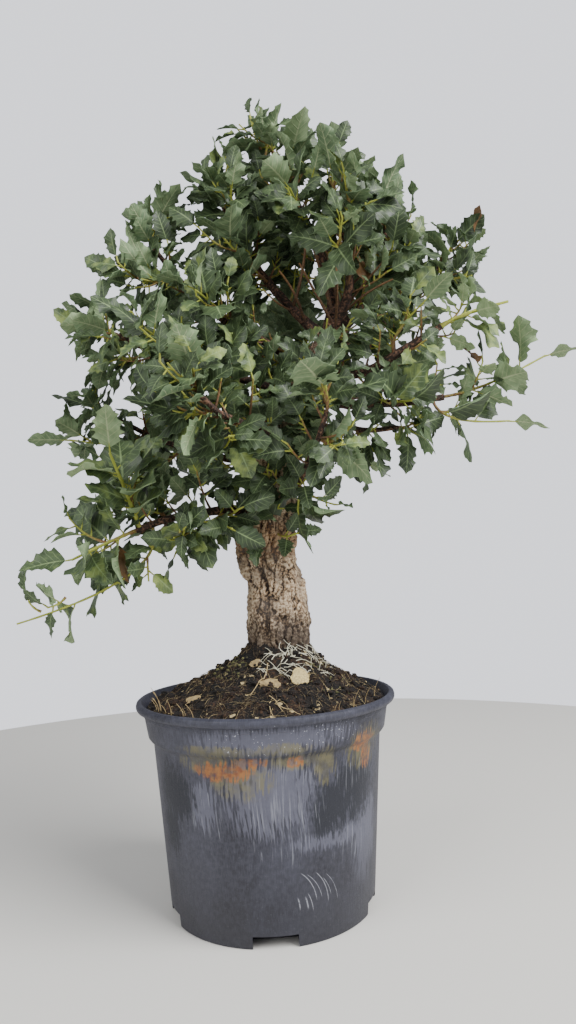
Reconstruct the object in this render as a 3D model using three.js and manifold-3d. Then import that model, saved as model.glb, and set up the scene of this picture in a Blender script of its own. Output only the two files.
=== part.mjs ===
// A cork oak grown as a bonsai in a round plastic nursery pot. Millimetres, +Z up.
// The origin is the middle of the pot's underside, and -Y is the front of the tree.
import * as THREE from "three";
import { mergeVertices } from "three/addons/utils/BufferGeometryUtils.js";
import Module from "manifold-3d";

const wasm = await Module();
wasm.setup();

// Driving dimensions of the pot
const potHeight = 196;
const rimRadius = 125.5;
const baseRadius = 97;
const bodyTopRadius = 109.5;
const bandRadius = 118.6;
const bandFoot = 160;
const bandTop = 187;
const lipInnerRadius = 119.6;
const wall = 2.6;
const potSides = 40;
const notchCount = 5;
const notchWidth = 39;
const notchHeight = 11;
const notchDepth = 20;
const drainRadius = 7;

// Driving dimensions of the soil and of what lies in it
const seat = 0.4; // gap between pieces that touch
const soilEdge = 189;
const soilPeak = 246;
const soilRelief = 2.2;
const collarRise = 14; // where the soil is heaped against the trunk
const collarReach = 10;
const trunkFoot = [15, 0];
const footRadius = 31;
const footDepth = 150;

// Driving dimensions of the bark, and how finely the wood is faceted
const corkFrom = 252;
const corkTop = 560;
const plateRelief = 0.13;
const lumpRelief = 0.07;
const barkSides = 20;
const barkStep = 12;
const limbSides = 5;
const limbSteps = 6;

// Driving dimensions of the leaves
const bladeThickness = 0.9;
const leafLength = 41;
const leafWidth = 0.66; // share of the blade's length
const waveHeight = 0.09; // share of the blade's length
const petiole = 7;
const stemRadius = 1.7;
const tipRadius = 1.0;
const stemSides = 4;
const stemStep = 34;
const turn = 2.4; // radians round the stem from one leaf to the next
const endLeafReach = 28; // how far a shoot's last leaf goes on past its stem
const leafGap = 7.5; // least distance between the leaves of two shoots
const leafTries = 10;
const firstLeaf = 0.3; // share of the stem that is bare below the first leaf

// Trunk and limbs: x, y, z and radius of each point on their centrelines
const trunk = [
  [15, 0, 196, 31],
  [15, 0, 236, 31],
  [16, 0, 262, 31],
  [15.5, 0, 290, 28.5],
  [12, 0, 312, 27],
  [7, 0, 328, 28.5],
  [6, 0, 345, 30],
  [8, 0, 364, 29],
  [12, 0, 382, 27.5],
  [17, 1, 408, 24],
  [24, 2, 440, 21],
  [34, 4, 474, 18.5],
  [50, 6, 504, 16],
  [68, 8, 530, 13.5],
  [83, 9, 556, 11.5],
  [88, 10, 584, 8],
];
const limbs = {
  lowLeft: [
    [-2, -8, 374, 6], [-30, -22, 376, 5.2], [-60, -32, 372, 4.6], [-90, -40, 366, 4.2], [-114, -45, 358, 3.6],
  ],
  left: [
    [12, 8, 415, 6], [-20, 22, 429, 4.8], [-60, 32, 441, 4], [-105, 38, 459, 3.4], [-150, 35, 482, 2.6],
  ],
  midLeft: [
    [30, -2, 492, 6], [-7, -20, 503, 4.8], [-50, -38, 511, 4.2], [-92, -40, 528, 3.6], [-126, -36, 546, 2.8],
  ],
  upLeft: [
    [50, 4, 522, 6], [12, -5, 545, 4.8], [-28, -10, 568, 4.2], [-64, -10, 603, 3.5], [-92, -6, 640, 2.7],
  ],
  crownLeft: [
    [76, 8, 548, 7], [42, 6, 584, 5.6], [14, 14, 621, 4.8], [-8, 18, 662, 3.8], [-24, 18, 698, 2.8],
  ],
  apex: [[87, 9, 572, 8], [84, 14, 616, 6], [68, 10, 660, 5], [48, 6, 706, 3.8], [32, 2, 744, 2.8]],
  apexRight: [[87, 6, 560, 7], [101, -18, 596, 5], [97, -28, 640, 4], [89, -30, 682, 2.8]],
  crownRight: [[86, 10, 556, 7], [126, 28, 594, 5.2], [150, 42, 648, 4], [152, 45, 692, 2.8]],
  upRight: [[66, 2, 510, 7], [110, -22, 506, 5.6], [146, -38, 522, 4.8], [182, -50, 541, 3.6]],
  backRight: [[84, 10, 545, 7], [144, 52, 576, 5.2], [196, 76, 622, 4], [228, 84, 666, 2.8]],
  right: [[50, 4, 486, 7], [95, -18, 475, 5.6], [142, -28, 473, 4.6], [186, -30, 477, 3.6]],
  lowRight: [[30, -6, 440, 5], [74, -28, 452, 3.6], [104, -38, 446, 3.2], [136, -44, 446, 2.6]],
  front: [[20, -14, 380, 5], [42, -50, 402, 3.6], [55, -84, 428, 3.2], [63, -104, 452, 2.6]],
  frontLeft: [[22, -8, 446, 5.5], [-4, -62, 449, 4.2], [-28, -104, 453, 3.4], [-44, -128, 464, 2.6]],
  back: [[46, 10, 498, 7], [42, 72, 538, 5], [28, 116, 582, 3.2]],
  backTop: [[84, 14, 552, 7], [122, 74, 602, 4.6], [144, 116, 652, 2.8]],
  backLeft: [[26, 6, 446, 6], [-26, 72, 500, 4.4], [-74, 106, 546, 2.8]],
  backLow: [[60, 10, 482, 6], [134, 64, 506, 4.4], [192, 98, 526, 2.8]],
};

// Leafy shoots: the limb each grows on, how far along it, where its tip is, and its number of leaves
const shoots = {
  crown_tip: { on: "apex", at: 1, tip: [8, 2, 786], leaves: 6 },
  crown_right: { on: "apex", at: 0.8, tip: [46, -10, 776], leaves: 5 },
  crown_back: { on: "apex", at: 0.7, tip: [-2, 48, 770], leaves: 5 },
  crown_front: { on: "apex", at: 0.55, tip: [34, -70, 690], leaves: 5 },
  dome_left_tip: { on: "crownLeft", at: 1, tip: [-32, 12, 748], leaves: 5 },
  dome_left_front: { on: "crownLeft", at: 0.88, tip: [-12, -44, 706], leaves: 5 },
  dome_left_side: { on: "crownLeft", at: 0.44, tip: [-54, -24, 680], leaves: 5 },
  dome_left_back: { on: "crownLeft", at: 0.5, tip: [-40, 74, 680], leaves: 5 },
  dome_tip: { on: "apexRight", at: 1, tip: [86, -26, 738], leaves: 5 },
  dome_front: { on: "apexRight", at: 0.55, tip: [66, -92, 618], leaves: 5 },
  dome_middle: { on: "apexRight", at: 0.8, tip: [118, -64, 690], leaves: 5 },
  dome_right_tip: { on: "crownRight", at: 1, tip: [130, 30, 744], leaves: 5 },
  dome_right_side: { on: "crownRight", at: 0.75, tip: [162, 12, 708], leaves: 4 },
  dome_right_front: { on: "crownRight", at: 0.45, tip: [156, -26, 656], leaves: 5 },
  dome_right_back: { on: "crownRight", at: 0.7, tip: [112, 92, 722], leaves: 5 },
  shoulder_tip: { on: "upLeft", at: 1, tip: [-88, 4, 706], leaves: 6 },
  shoulder_back: { on: "upLeft", at: 0.6, tip: [-122, 62, 652], leaves: 5 },
  shoulder_front: { on: "upLeft", at: 0.8, tip: [-156, -30, 614], leaves: 5 },
  shoulder_low: { on: "upLeft", at: 0.45, tip: [-66, -86, 588], leaves: 5 },
  left_high: { on: "midLeft", at: 1, tip: [-170, -20, 580], leaves: 5 },
  left_side: { on: "midLeft", at: 0.8, tip: [-186, 14, 545], leaves: 4 },
  left_front: { on: "midLeft", at: 0.6, tip: [-122, -98, 556], leaves: 5 },
  left_middle: { on: "midLeft", at: 0.35, tip: [-52, -104, 520], leaves: 5 },
  left_tip: { on: "left", at: 1, tip: [-194, 20, 505], leaves: 4 },
  left_reach: { on: "left", at: 0.8, tip: [-214, 2, 452], leaves: 4 },
  left_low: { on: "left", at: 0.6, tip: [-158, 48, 412], leaves: 5 },
  left_back: { on: "left", at: 0.45, tip: [-128, 112, 470], leaves: 5 },
  low_rise: { on: "lowLeft", at: 0.96, tip: [-136, -95, 450], leaves: 5, size: 1.25 },
  low_reach: { on: "lowLeft", at: 1, tip: [-192, -78, 322], leaves: 5, size: 1.15 },
  low_trail: { on: "lowLeft", at: 0.84, tip: [-220, -62, 278], leaves: 5, last: 0.85 },
  low_side: { on: "lowLeft", at: 0.7, tip: [-180, -6, 382], leaves: 4 },
  low_hang: { on: "lowLeft", at: 0.5, tip: [-94, -28, 312], leaves: 4 },
  low_inner: { on: "lowLeft", at: 0.3, tip: [-62, -64, 350], leaves: 3 },
  front_left_tip: { on: "frontLeft", at: 1, tip: [-54, -158, 500], leaves: 5 },
  front_left_side: { on: "frontLeft", at: 0.75, tip: [-88, -132, 448], leaves: 5 },
  front_left_low: { on: "frontLeft", at: 0.5, tip: [-34, -108, 402], leaves: 5 },
  front_tip: { on: "front", at: 1, tip: [58, -128, 504], leaves: 4, size: 1.2 },
  front_right: { on: "front", at: 0.7, tip: [92, -96, 410], leaves: 5, size: 1.1 },
  front_low: { on: "front", at: 0.3, tip: [34, -62, 344], leaves: 4 },
  right_spear: { on: "upRight", at: 1, tip: [244, -62, 559], leaves: 4, last: 0.7 },
  right_upper: { on: "upRight", at: 0.6, tip: [176, -74, 582], leaves: 5 },
  right_back_tip: { on: "backRight", at: 1, tip: [250, 60, 694], leaves: 5 },
  right_back_side: { on: "backRight", at: 0.75, tip: [246, 40, 636], leaves: 5 },
  right_back_in: { on: "backRight", at: 0.5, tip: [190, 66, 688], leaves: 5 },
  right_tip: { on: "right", at: 1, tip: [318, -22, 526], leaves: 5 },
  right_low: { on: "right", at: 0.9, tip: [276, -30, 442], leaves: 4 },
  right_front: { on: "right", at: 0.6, tip: [158, -86, 464], leaves: 5 },
  low_right_tip: { on: "lowRight", at: 1, tip: [172, -62, 430], leaves: 4 },
  low_right_hang: { on: "lowRight", at: 0.6, tip: [122, -62, 406], leaves: 3 },
  back_tip: { on: "back", at: 1, tip: [18, 158, 628], leaves: 6 },
  back_top_tip: { on: "backTop", at: 1, tip: [156, 146, 700], leaves: 6 },
  back_left_tip: { on: "backLeft", at: 1, tip: [-112, 132, 588], leaves: 6 },
  back_low_tip: { on: "backLow", at: 1, tip: [196, 140, 566], leaves: 6 },
};

// Vectors as plain arrays
const add = (a, b) => a.map((c, i) => c + b[i]);
const scale = (a, k) => a.map((c) => c * k);
const dot = (a, b) => a[0] * b[0] + a[1] * b[1] + a[2] * b[2];
const minus = (a, b) => a.map((c, i) => c - b[i]);
const length = (a) => Math.sqrt(dot(a, a));
const unit = (a) => scale(a, 1 / length(a));
const cross = (a, b) => [a[1] * b[2] - a[2] * b[1], a[2] * b[0] - a[0] * b[2], a[0] * b[1] - a[1] * b[0]];
const across = (a, along) => unit(minus(a, scale(along, dot(a, along))));

// A number from 0 to 1 that depends only on whole-number keys
function draw(...keys) {
  let h = 2166136261;
  for (const key of keys) {
    h = Math.imul(h ^ (key + 17), 16777619);
    h = Math.imul(h ^ (h >>> 13), 1540483477);
    h ^= h >>> 15;
  }
  return (h >>> 0) / 4294967296;
}

// A point on a smooth curve through the given points, with t from 0 to 1
function curveAt(points, t) {
  const spans = points.length - 1;
  const x = Math.min(Math.max(t, 0), 1) * spans;
  const i = Math.min(Math.floor(x), spans - 1);
  const f = x - i;
  const a = points[Math.max(i - 1, 0)];
  const b = points[i];
  const c = points[i + 1];
  const d = points[Math.min(i + 2, spans)];
  const mix = (k) =>
    2 * b[k] + (c[k] - a[k]) * f + (2 * a[k] - 5 * b[k] + 4 * c[k] - d[k]) * f ** 2 +
    (3 * b[k] - a[k] - 3 * c[k] + d[k]) * f ** 3;
  return b.map((_, k) => mix(k) / 2);
}

function directionAt(points, t) {
  const step = 0.01;
  return unit(minus(curveAt(points, t + step), curveAt(points, t - step)).slice(0, 3));
}

// The point at a share t of a line of points, and the line's direction there
function onLine(line, t) {
  const x = t * (line.length - 1);
  const i = Math.min(Math.floor(x), line.length - 2);
  const span = minus(line[i + 1], line[i]);
  return { point: add(line[i], scale(span, x - i)), ahead: unit(span.slice(0, 3)) };
}

// three.js geometry to a manifold-3d solid and back
function solidFrom(geometry) {
  const bare = geometry.index ? geometry.toNonIndexed() : geometry.clone();
  bare.deleteAttribute("normal");
  bare.deleteAttribute("uv");
  const merged = mergeVertices(bare, 1e-3);
  const corners = merged.index.array;
  const kept = [];
  for (let i = 0; i < corners.length; i += 3) {
    const [a, b, c] = corners.slice(i, i + 3);
    if (a !== b && b !== c && a !== c) kept.push(a, b, c);
  }
  const vertProperties = merged.attributes.position.array;
  return new wasm.Manifold(new wasm.Mesh({ numProp: 3, vertProperties, triVerts: new Uint32Array(kept) }));
}

function geometryFrom(solid) {
  const mesh = solid.getMesh();
  const geometry = new THREE.BufferGeometry();
  geometry.setAttribute("position", new THREE.BufferAttribute(mesh.vertProperties, 3));
  geometry.setIndex(new THREE.BufferAttribute(mesh.triVerts, 1));
  const flat = geometry.toNonIndexed();
  flat.computeVertexNormals();
  return flat;
}

function geometryOf(points, faces) {
  const geometry = new THREE.BufferGeometry();
  geometry.setAttribute("position", new THREE.Float32BufferAttribute(points.flat(), 3));
  geometry.setIndex(faces.flat());
  return geometry;
}

// A closed tube through rings of points, each ring in the same order round the line
function skin(rings) {
  const sides = rings[0].length;
  const points = rings.flat();
  const faces = [];
  for (let i = 0; i + 1 < rings.length; i++)
    for (let j = 0; j < sides; j++) {
      const [a, b] = [i * sides + j, i * sides + ((j + 1) % sides)];
      faces.push([a, b, b + sides], [a, b + sides, a + sides]);
    }
  for (let j = 1; j + 1 < sides; j++) {
    const last = points.length - sides;
    faces.push([0, j + 1, j], [last, last + j, last + j + 1]);
  }
  return geometryOf(points, faces);
}

// A round rod along centres, with a radius for each
function rod(centres, radii, sides) {
  let side = null;
  const rings = centres.map((centre, i) => {
    const ahead = centres[Math.min(i + 1, centres.length - 1)];
    const behind = centres[Math.max(i - 1, 0)];
    const along = unit(minus(ahead, behind));
    side = across(side || (Math.abs(along[2]) > 0.9 ? [1, 0, 0] : [0, 0, 1]), along);
    const other = cross(along, side);
    return Array.from({ length: sides }, (_, j) => {
      const angle = (j / sides) * 2 * Math.PI;
      const [a, b] = [radii[i] * Math.cos(angle), radii[i] * Math.sin(angle)];
      return [centre, scale(side, a), scale(other, b)].reduce(add);
    });
  });
  return skin(rings);
}

// Pot
const turned = (profile, sides) =>
  new THREE.LatheGeometry(profile.map(([r, z]) => new THREE.Vector2(r, z)), sides).rotateX(Math.PI / 2);

const potOuter = [
  [0, 0],
  [baseRadius, 0],
  [bodyTopRadius, bandFoot - 2],
  [bandRadius - 4, bandFoot + 3],
  [bandRadius, bandTop],
  [rimRadius - 1.5, bandTop + 1.5],
  [rimRadius, bandTop + 5],
  [rimRadius - 2, potHeight],
];
const potCavity = [
  [0, wall],
  [baseRadius - wall, wall],
  [bodyTopRadius - wall, bandFoot],
  [bandRadius - wall, bandTop + 1],
];
const notchAngle = (i) => -Math.PI / 2 + (i * 2 * Math.PI) / notchCount;

// A box that reaches out from the pot's middle at a notch
function notchBox(i, from, to, width, low, high) {
  const box = new THREE.BoxGeometry(to - from, width, high - low);
  box.translate((from + to) / 2, 0, (low + high) / 2);
  return solidFrom(box.rotateZ(notchAngle(i)));
}

function makePot() {
  const outside = solidFrom(turned([...potOuter, [0, potHeight]], potSides));
  const inside = baseRadius - notchDepth;
  const profile = [...potOuter, [lipInnerRadius, potHeight], ...[...potCavity].reverse()];
  let pot = solidFrom(turned(profile, potSides));
  for (let i = 0; i < notchCount; i++) {
    const pocket = notchBox(i, inside - wall, rimRadius, notchWidth + 2 * wall, 0, notchHeight + wall);
    pot = pot.add(pocket.intersect(outside));
  }
  for (let i = 0; i < notchCount; i++) {
    pot = pot.subtract(notchBox(i, inside, rimRadius, notchWidth, -1, notchHeight));
    const drain = new THREE.CylinderGeometry(drainRadius, drainRadius, 3 * wall, 8).rotateX(Math.PI / 2);
    drain.translate(inside + notchDepth / 2, 0, notchHeight + wall / 2);
    pot = pot.subtract(solidFrom(drain.rotateZ(notchAngle(i))));
  }
  return pot;
}

// Soil: a crumbly mound that rises to the trunk, in the pot's own angles so that it follows the wall
function soilHeight(x, y) {
  const away = Math.hypot(x - trunkFoot[0], y - trunkFoot[1]);
  const fromTrunk = away / bandRadius;
  const fromEdge = Math.max(0, 1 - Math.hypot(x, y) / (bandRadius - wall));
  const rise = (soilPeak - soilEdge) * (fromEdge / (fromEdge + fromTrunk + 0.02));
  const crumbs = soilRelief * Math.sin(x / 7.3 + 1.1 * Math.sin(y / 11)) * Math.cos(y / 6.1 + x / 17);
  const collar = collarRise * Math.exp(-Math.max(0, away - footRadius) / collarReach);
  return soilEdge + rise + crumbs * Math.min(1, 6 * fromEdge) + collar;
}

function makeSoil(beds) {
  const edge = potCavity[3][0] - seat;
  const rings = [0.89, 0.76, 0.62, 0.48, 0.34, 0.2, 0].map((share) => [share * edge, soilPeak]);
  const below = potCavity.map(([r, z]) => [Math.max(r - seat, 0), z === wall ? z + seat : z]);
  const geometry = turned([...below, ...rings], potSides);
  const place = geometry.attributes.position;
  for (let i = 0; i < place.count; i++)
    if (place.getZ(i) > soilEdge) place.setZ(i, soilHeight(place.getX(i), place.getY(i)));
  let soil = solidFrom(geometry);
  for (let i = 0; i < notchCount; i++) {
    const from = baseRadius - notchDepth - wall - seat;
    const width = notchWidth + 2 * wall + 2 * seat;
    soil = soil.subtract(notchBox(i, from, rimRadius, width, 0, notchHeight + wall + seat));
  }
  const holeEnds = [[...trunkFoot, footDepth - seat], [...trunkFoot, soilPeak + 2 * collarRise]];
  soil = soil.subtract(solidFrom(rod(holeEnds, [footRadius + seat, footRadius + seat], barkSides)));
  for (const bed of beds) soil = soil.subtract(bed);
  return soil;
}

// Wood: the corky trunk and its limbs, with the bark raised by formula
// Plates of cork between upright furrows, as a share of the trunk's radius
function barkRelief(angle, height) {
  const start = Math.min(1, Math.max(0, (height - corkFrom) / 10));
  const fade = Math.min(1, Math.max(0, (corkTop - height) / 120));
  const drift = 0.8 * Math.sin(height / 34) + 0.35 * Math.sin(height / 11);
  const plates = Math.abs(Math.sin(2.5 * angle + drift)) - 0.6;
  const lumps = Math.sin(height / 8.5 + 3 * Math.sin(angle * 2)) * Math.cos(3 * angle - height / 19);
  return start * fade * (plateRelief * plates + lumpRelief * lumps);
}

function makeTrunk() {
  const rings = [];
  const ring = (centre, along, radius) => {
    const side = across([1, 0, 0], along);
    const other = cross(along, side);
    return Array.from({ length: barkSides }, (_, j) => {
      const angle = (j / barkSides) * 2 * Math.PI;
      const r = radius * (1 + barkRelief(angle, centre[2]));
      return add(centre, add(scale(side, r * Math.cos(angle)), scale(other, r * Math.sin(angle))));
    });
  };
  rings.push(ring([...trunkFoot, footDepth], [0, 0, 1], footRadius));
  const height = trunk[trunk.length - 1][2] - trunk[0][2];
  const steps = Math.round(height / barkStep);
  for (let i = 0; i <= steps; i++) {
    const [x, y, z, r] = curveAt(trunk, i / steps);
    if (z > soilPeak - 20) rings.push(ring([x, y, z], directionAt(trunk, i / steps), r));
  }
  return solidFrom(skin(rings));
}

// A limb's rod, and with grow the space that what is seated on it keeps clear
function makeLimb(line, grow = 0) {
  const centres = line.map((p) => p.slice(0, 3));
  const last = centres.length - 1;
  centres[last] = add(centres[last], scale(onLine(line, 1).ahead, grow));
  return solidFrom(rod(centres, line.map((p) => p[3] + grow), limbSides));
}

const limbLines = Object.fromEntries(
  Object.entries(limbs).map(([name, points]) => [
    name,
    Array.from({ length: limbSteps + 1 }, (_, i) => curveAt(points, i / limbSteps)),
  ]),
);

function makeWood() {
  return Object.values(limbLines).reduce((wood, line) => wood.add(makeLimb(line)), makeTrunk());
}

// Shoots: a stem leaves its limb square, bends in straight lengths to its tip and carries leaves by turns
function stemOf(shoot) {
  const { point, ahead } = onLine(limbLines[shoot.on], shoot.at);
  const start = point.slice(0, 3);
  const whole = minus(shoot.tip, start);
  const reach = length(whole) - (shoot.last ? 0 : endLeafReach);
  const tip = add(start, scale(unit(whole), reach));
  const out = shoot.at === 1 ? ahead : across(whole, ahead);
  const bend = add(start, scale(out, reach * 0.35));
  const steps = Math.max(2, Math.round(reach / stemStep));
  return Array.from({ length: steps + 1 }, (_, i) => {
    const t = i / steps;
    const parts = [scale(start, (1 - t) ** 2), scale(bend, 2 * t * (1 - t)), scale(tip, t * t)];
    return parts.reduce(add);
  });
}

// A point of a blade: u along it, v across it from edge to edge, w the lift of its waved edge
function bladePoint(leaf, u, v, w) {
  const blade = leaf.length - petiole;
  const lift = (w * leaf.wave * waveHeight - leaf.curl * u * u) * blade;
  const along = scale(leaf.along, petiole + u * blade);
  return [leaf.root, along, scale(leaf.side, v * leaf.width * 0.5), scale(leaf.facing, lift)].reduce(add);
}

// Points spread over a blade, by which its distance to others is judged
const probeSteps = [
  [-0.1, 0],
  [0.1, 0.5],
  [0.34, 1],
  [0.6, 0.85],
  [0.8, 0.5],
  [1, 0],
];
const probesOf = (leaf) =>
  probeSteps.flatMap(([u, v]) => [-v, 0, v].map((side) => bladePoint(leaf, u, side, 0)));

function leafOf(stem, shoot, index, k, attempt) {
  const last = shoot.last || 1;
  const terminal = k === shoot.leaves - 1 && last === 1;
  const t = terminal ? 0.985 : firstLeaf + ((last - firstLeaf) * (k + 0.3)) / (shoot.leaves - 0.2);
  const { point: root, ahead } = onLine(stem, t);
  const up = across(Math.abs(ahead[2]) > 0.95 ? [0, 1, 0] : [0, 0, 1], ahead);
  const right = cross(ahead, up);
  const angle = index * 1.7 + k * turn + attempt * 0.9;
  const open = terminal ? 0.25 + 0.06 * attempt : 0.85 + 0.35 * draw(index, k, attempt, 1);
  const around = add(scale(up, Math.cos(angle)), scale(right, Math.sin(angle)));
  const along = unit([scale(ahead, Math.cos(open)), scale(around, Math.sin(open)), [0, 0, 0.12]].reduce(add));
  const jitter = [2, 3, 4].map((key) => draw(index, k, attempt, key) - 0.5);
  const facing = across(add(add(scale(ahead, 0.7), [0, -0.1, 0.5]), jitter), along);
  const small = (attempt > 4 ? 0.85 : 1) * (0.84 + 0.32 * draw(index, k, 5)) * (shoot.size || 1);
  const size = leafLength * small * (terminal ? 0.9 : 1);
  return {
    root,
    along,
    facing,
    side: cross(facing, along),
    length: petiole + size,
    width: size * leafWidth * (0.88 + 0.24 * draw(index, k, 6)),
    curl: 0.1 + 0.22 * draw(index, k, 7),
    wave: 0.5 + 0.5 * draw(index, k, 8),
  };
}

const farFrom = (probes, others, gap) =>
  probes.every((p) => others.every((o) => length(minus(p, o)) > gap + (o[3] || 0)));

// Every shoot's stem and leaves, each leaf turned until it clears the wood and the other shoots
function layOut() {
  const woodPoints = [trunk, ...Object.values(limbs)].flatMap((points) =>
    Array.from({ length: 31 }, (_, i) => curveAt(points, i / 30)),
  );
  const made = Object.entries(shoots).map(([name, shoot]) => ({
    name,
    shoot,
    stem: stemOf(shoot),
    leaves: [],
  }));
  const stemPoints = made.map(({ stem }) => Array.from({ length: 21 }, (_, i) => onLine(stem, i / 20).point));
  const taken = made.map(() => []);
  made.forEach((one, index) => {
    const otherStems = stemPoints.filter((_, i) => i !== index).flat();
    for (let k = 0; k < one.shoot.leaves; k++)
      for (let attempt = 0; attempt < leafTries; attempt++) {
        const leaf = leafOf(one.stem, one.shoot, index, k, attempt);
        const probes = probesOf(leaf);
        const otherLeaves = taken.filter((_, i) => i !== index).flat();
        const clear =
          farFrom(probes, woodPoints, 4) &&
          farFrom(probes, otherStems, 5) &&
          farFrom(probes, otherLeaves, leafGap) &&
          farFrom(probes, taken[index], leafGap - 2);
        if (!clear) continue;
        one.leaves.push(leaf);
        taken[index].push(...probes);
        break;
      }
  });
  return made;
}

// A blade's edge from its stalk to its last tooth: share of its length, half width and wave
const bladeSteps = [
  [0, 0.12, 0],
  [0.34, 1, 0.8],
  [0.68, 0.8, -0.9],
];

// A thin waved blade whose stalk narrows to a point inside the stem
function makeLeaf(leaf) {
  const left = bladeSteps.map(([u, v, w]) => bladePoint(leaf, u, -v, w));
  const right = bladeSteps.map(([u, v, w]) => bladePoint(leaf, u, v, -w));
  const rim = [...left, bladePoint(leaf, 1, 0, 0), ...right.reverse()];
  const count = rim.length;
  const last = count - 1;
  const half = scale(leaf.facing, bladeThickness / 2);
  const stalk = add(leaf.root, scale(leaf.along, -stemRadius * 0.6));
  const points = [...rim.map((p) => add(p, half)), ...rim.map((p) => minus(p, half)), stalk];
  const upper = [];
  for (let i = 0, j = last; i < j; i++, j--) {
    if (i + 1 < j) upper.push([i, i + 1, j]);
    if (i + 1 < j - 1) upper.push([i + 1, j - 1, j]);
  }
  const lower = upper.map(([p, q, r]) => [p + count, r + count, q + count]);
  const edges = rim.slice(1).flatMap((_, i) => [[i, i + count, i + 1 + count], [i, i + 1 + count, i + 1]]);
  const end = 2 * count;
  const stalkFaces = [[end, 0, last], [end, last + count, count], [end, count, 0], [end, last, last + count]];
  return solidFrom(geometryOf(points, [...upper, ...lower, ...edges, ...stalkFaces]));
}

function makeShoot({ shoot, stem, leaves }) {
  const radii = stem.map((_, i) => stemRadius + (tipRadius - stemRadius) * (i / (stem.length - 1)));
  const twig = solidFrom(rod(stem, radii, stemSides)).subtract(makeLimb(limbLines[shoot.on], seat));
  return leaves.reduce((whole, leaf) => whole.add(makeLeaf(leaf)), twig);
}

// Litter on the soil: thin flat pieces, each in a shallow bed of its own outline
const litterSink = 0.8;
const bedDepth = 60;
const litter = {
  bark_chip: { at: [32, -60], size: [21, 19], thick: 3, corners: 7, colour: "#b9a27c" },
  dry_leaf_middle: { at: [5, -63], size: [22, 15], thick: 1.2, corners: 8, colour: "#a89670" },
  dry_leaf_left: { at: [-66, -55], size: [16, 10], thick: 1.2, corners: 8, colour: "#b79f78" },
  dry_leaf_top: { at: [-8, -37], size: [13, 10], thick: 1.2, corners: 6, colour: "#c9b48e" },
};

// A piece of litter, or with grow the bed that it lies in, cut up through the soil's surface
function litterSolid({ at, size, thick, corners }, index, grow = 0) {
  const outline = Array.from({ length: corners }, (_, i) => {
    const angle = (i / corners) * 2 * Math.PI;
    const ragged = 0.42 + 0.12 * draw(index, i, 9);
    const [x, y] = size.map((s) => s * ragged + grow);
    return new THREE.Vector2(x * Math.cos(angle), y * Math.sin(angle));
  });
  const depth = grow ? bedDepth : thick;
  const flat = new THREE.ExtrudeGeometry(new THREE.Shape(outline), { depth, bevelEnabled: false });
  flat.translate(0, 0, -grow);
  const [x, y] = at;
  const step = 8;
  const slopeX = (soilHeight(x + step, y) - soilHeight(x - step, y)) / (2 * step);
  const slopeY = (soilHeight(x, y + step) - soilHeight(x, y - step)) / (2 * step);
  flat.rotateX(Math.atan(slopeY)).rotateY(-Math.atan(slopeX));
  return solidFrom(flat.translate(x, y, soilHeight(x, y) - litterSink));
}

// Materials, as the photographed tree shows them
const paint = (colour, roughness) =>
  new THREE.MeshStandardMaterial({ color: colour, roughness, metalness: 0 });
const materials = {
  plastic: paint("#565a66", 0.6),
  soil: paint("#2b211c", 0.95),
  bark: paint("#8f7558", 0.9),
  leaf: paint("#4a6b3e", 0.5),
};

const tree = new THREE.Group();
function place(name, solid, material) {
  const mesh = new THREE.Mesh(geometryFrom(solid), material);
  mesh.name = name;
  tree.add(mesh);
}

const beds = Object.values(litter).map((piece, i) => litterSolid(piece, i, seat));
place("pot", makePot(), materials.plastic);
place("soil", makeSoil(beds), materials.soil);
place("trunk_and_limbs", makeWood(), materials.bark);
Object.entries(litter).forEach(([name, piece], i) => {
  place(name, litterSolid(piece, i), paint(piece.colour, 0.9));
});
for (const one of layOut()) place("shoot_" + one.name, makeShoot(one), materials.leaf);

export default tree;
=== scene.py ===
# Cork oak bonsai in a plastic nursery pot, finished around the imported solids
import math
import time

import bpy
import numpy as np
from mathutils import Matrix, Vector, noise


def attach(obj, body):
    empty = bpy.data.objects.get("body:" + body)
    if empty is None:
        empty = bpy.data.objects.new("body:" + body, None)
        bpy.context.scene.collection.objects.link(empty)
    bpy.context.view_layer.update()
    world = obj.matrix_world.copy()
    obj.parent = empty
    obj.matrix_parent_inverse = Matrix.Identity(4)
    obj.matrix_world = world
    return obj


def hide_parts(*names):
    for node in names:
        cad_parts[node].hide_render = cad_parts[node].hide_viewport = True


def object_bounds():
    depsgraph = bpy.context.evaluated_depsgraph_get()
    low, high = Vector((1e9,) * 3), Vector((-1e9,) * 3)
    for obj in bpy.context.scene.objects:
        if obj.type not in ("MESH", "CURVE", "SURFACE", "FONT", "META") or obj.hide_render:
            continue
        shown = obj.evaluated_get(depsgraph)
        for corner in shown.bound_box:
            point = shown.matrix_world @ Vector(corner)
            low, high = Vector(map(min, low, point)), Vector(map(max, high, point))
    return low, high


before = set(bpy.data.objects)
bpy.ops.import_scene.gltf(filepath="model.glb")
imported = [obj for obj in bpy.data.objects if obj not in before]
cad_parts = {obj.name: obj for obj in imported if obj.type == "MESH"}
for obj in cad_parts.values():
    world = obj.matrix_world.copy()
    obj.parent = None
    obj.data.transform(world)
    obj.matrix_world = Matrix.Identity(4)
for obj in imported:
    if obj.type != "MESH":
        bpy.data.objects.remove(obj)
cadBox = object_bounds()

mm = 0.001
noise.seed_set(3)  # for noise_vector, which otherwise differs from run to run
startedAt = time.time()


def report(words):
    print(f"{words} ({time.time() - startedAt:.1f} s)")


# Camera, fitted to the lip and the foot of the pot in the photograph
cameraFit = {
    "place": (0, -737.4, 324.9),
    "yaw": 2.31,
    "pitch": 3.68,
    "roll": -2.52,
    "focal": 739,  # in pixels of an image 576 wide and 1024 high
    "imageHeight": 1024,
    "sensor": 36,
}


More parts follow.
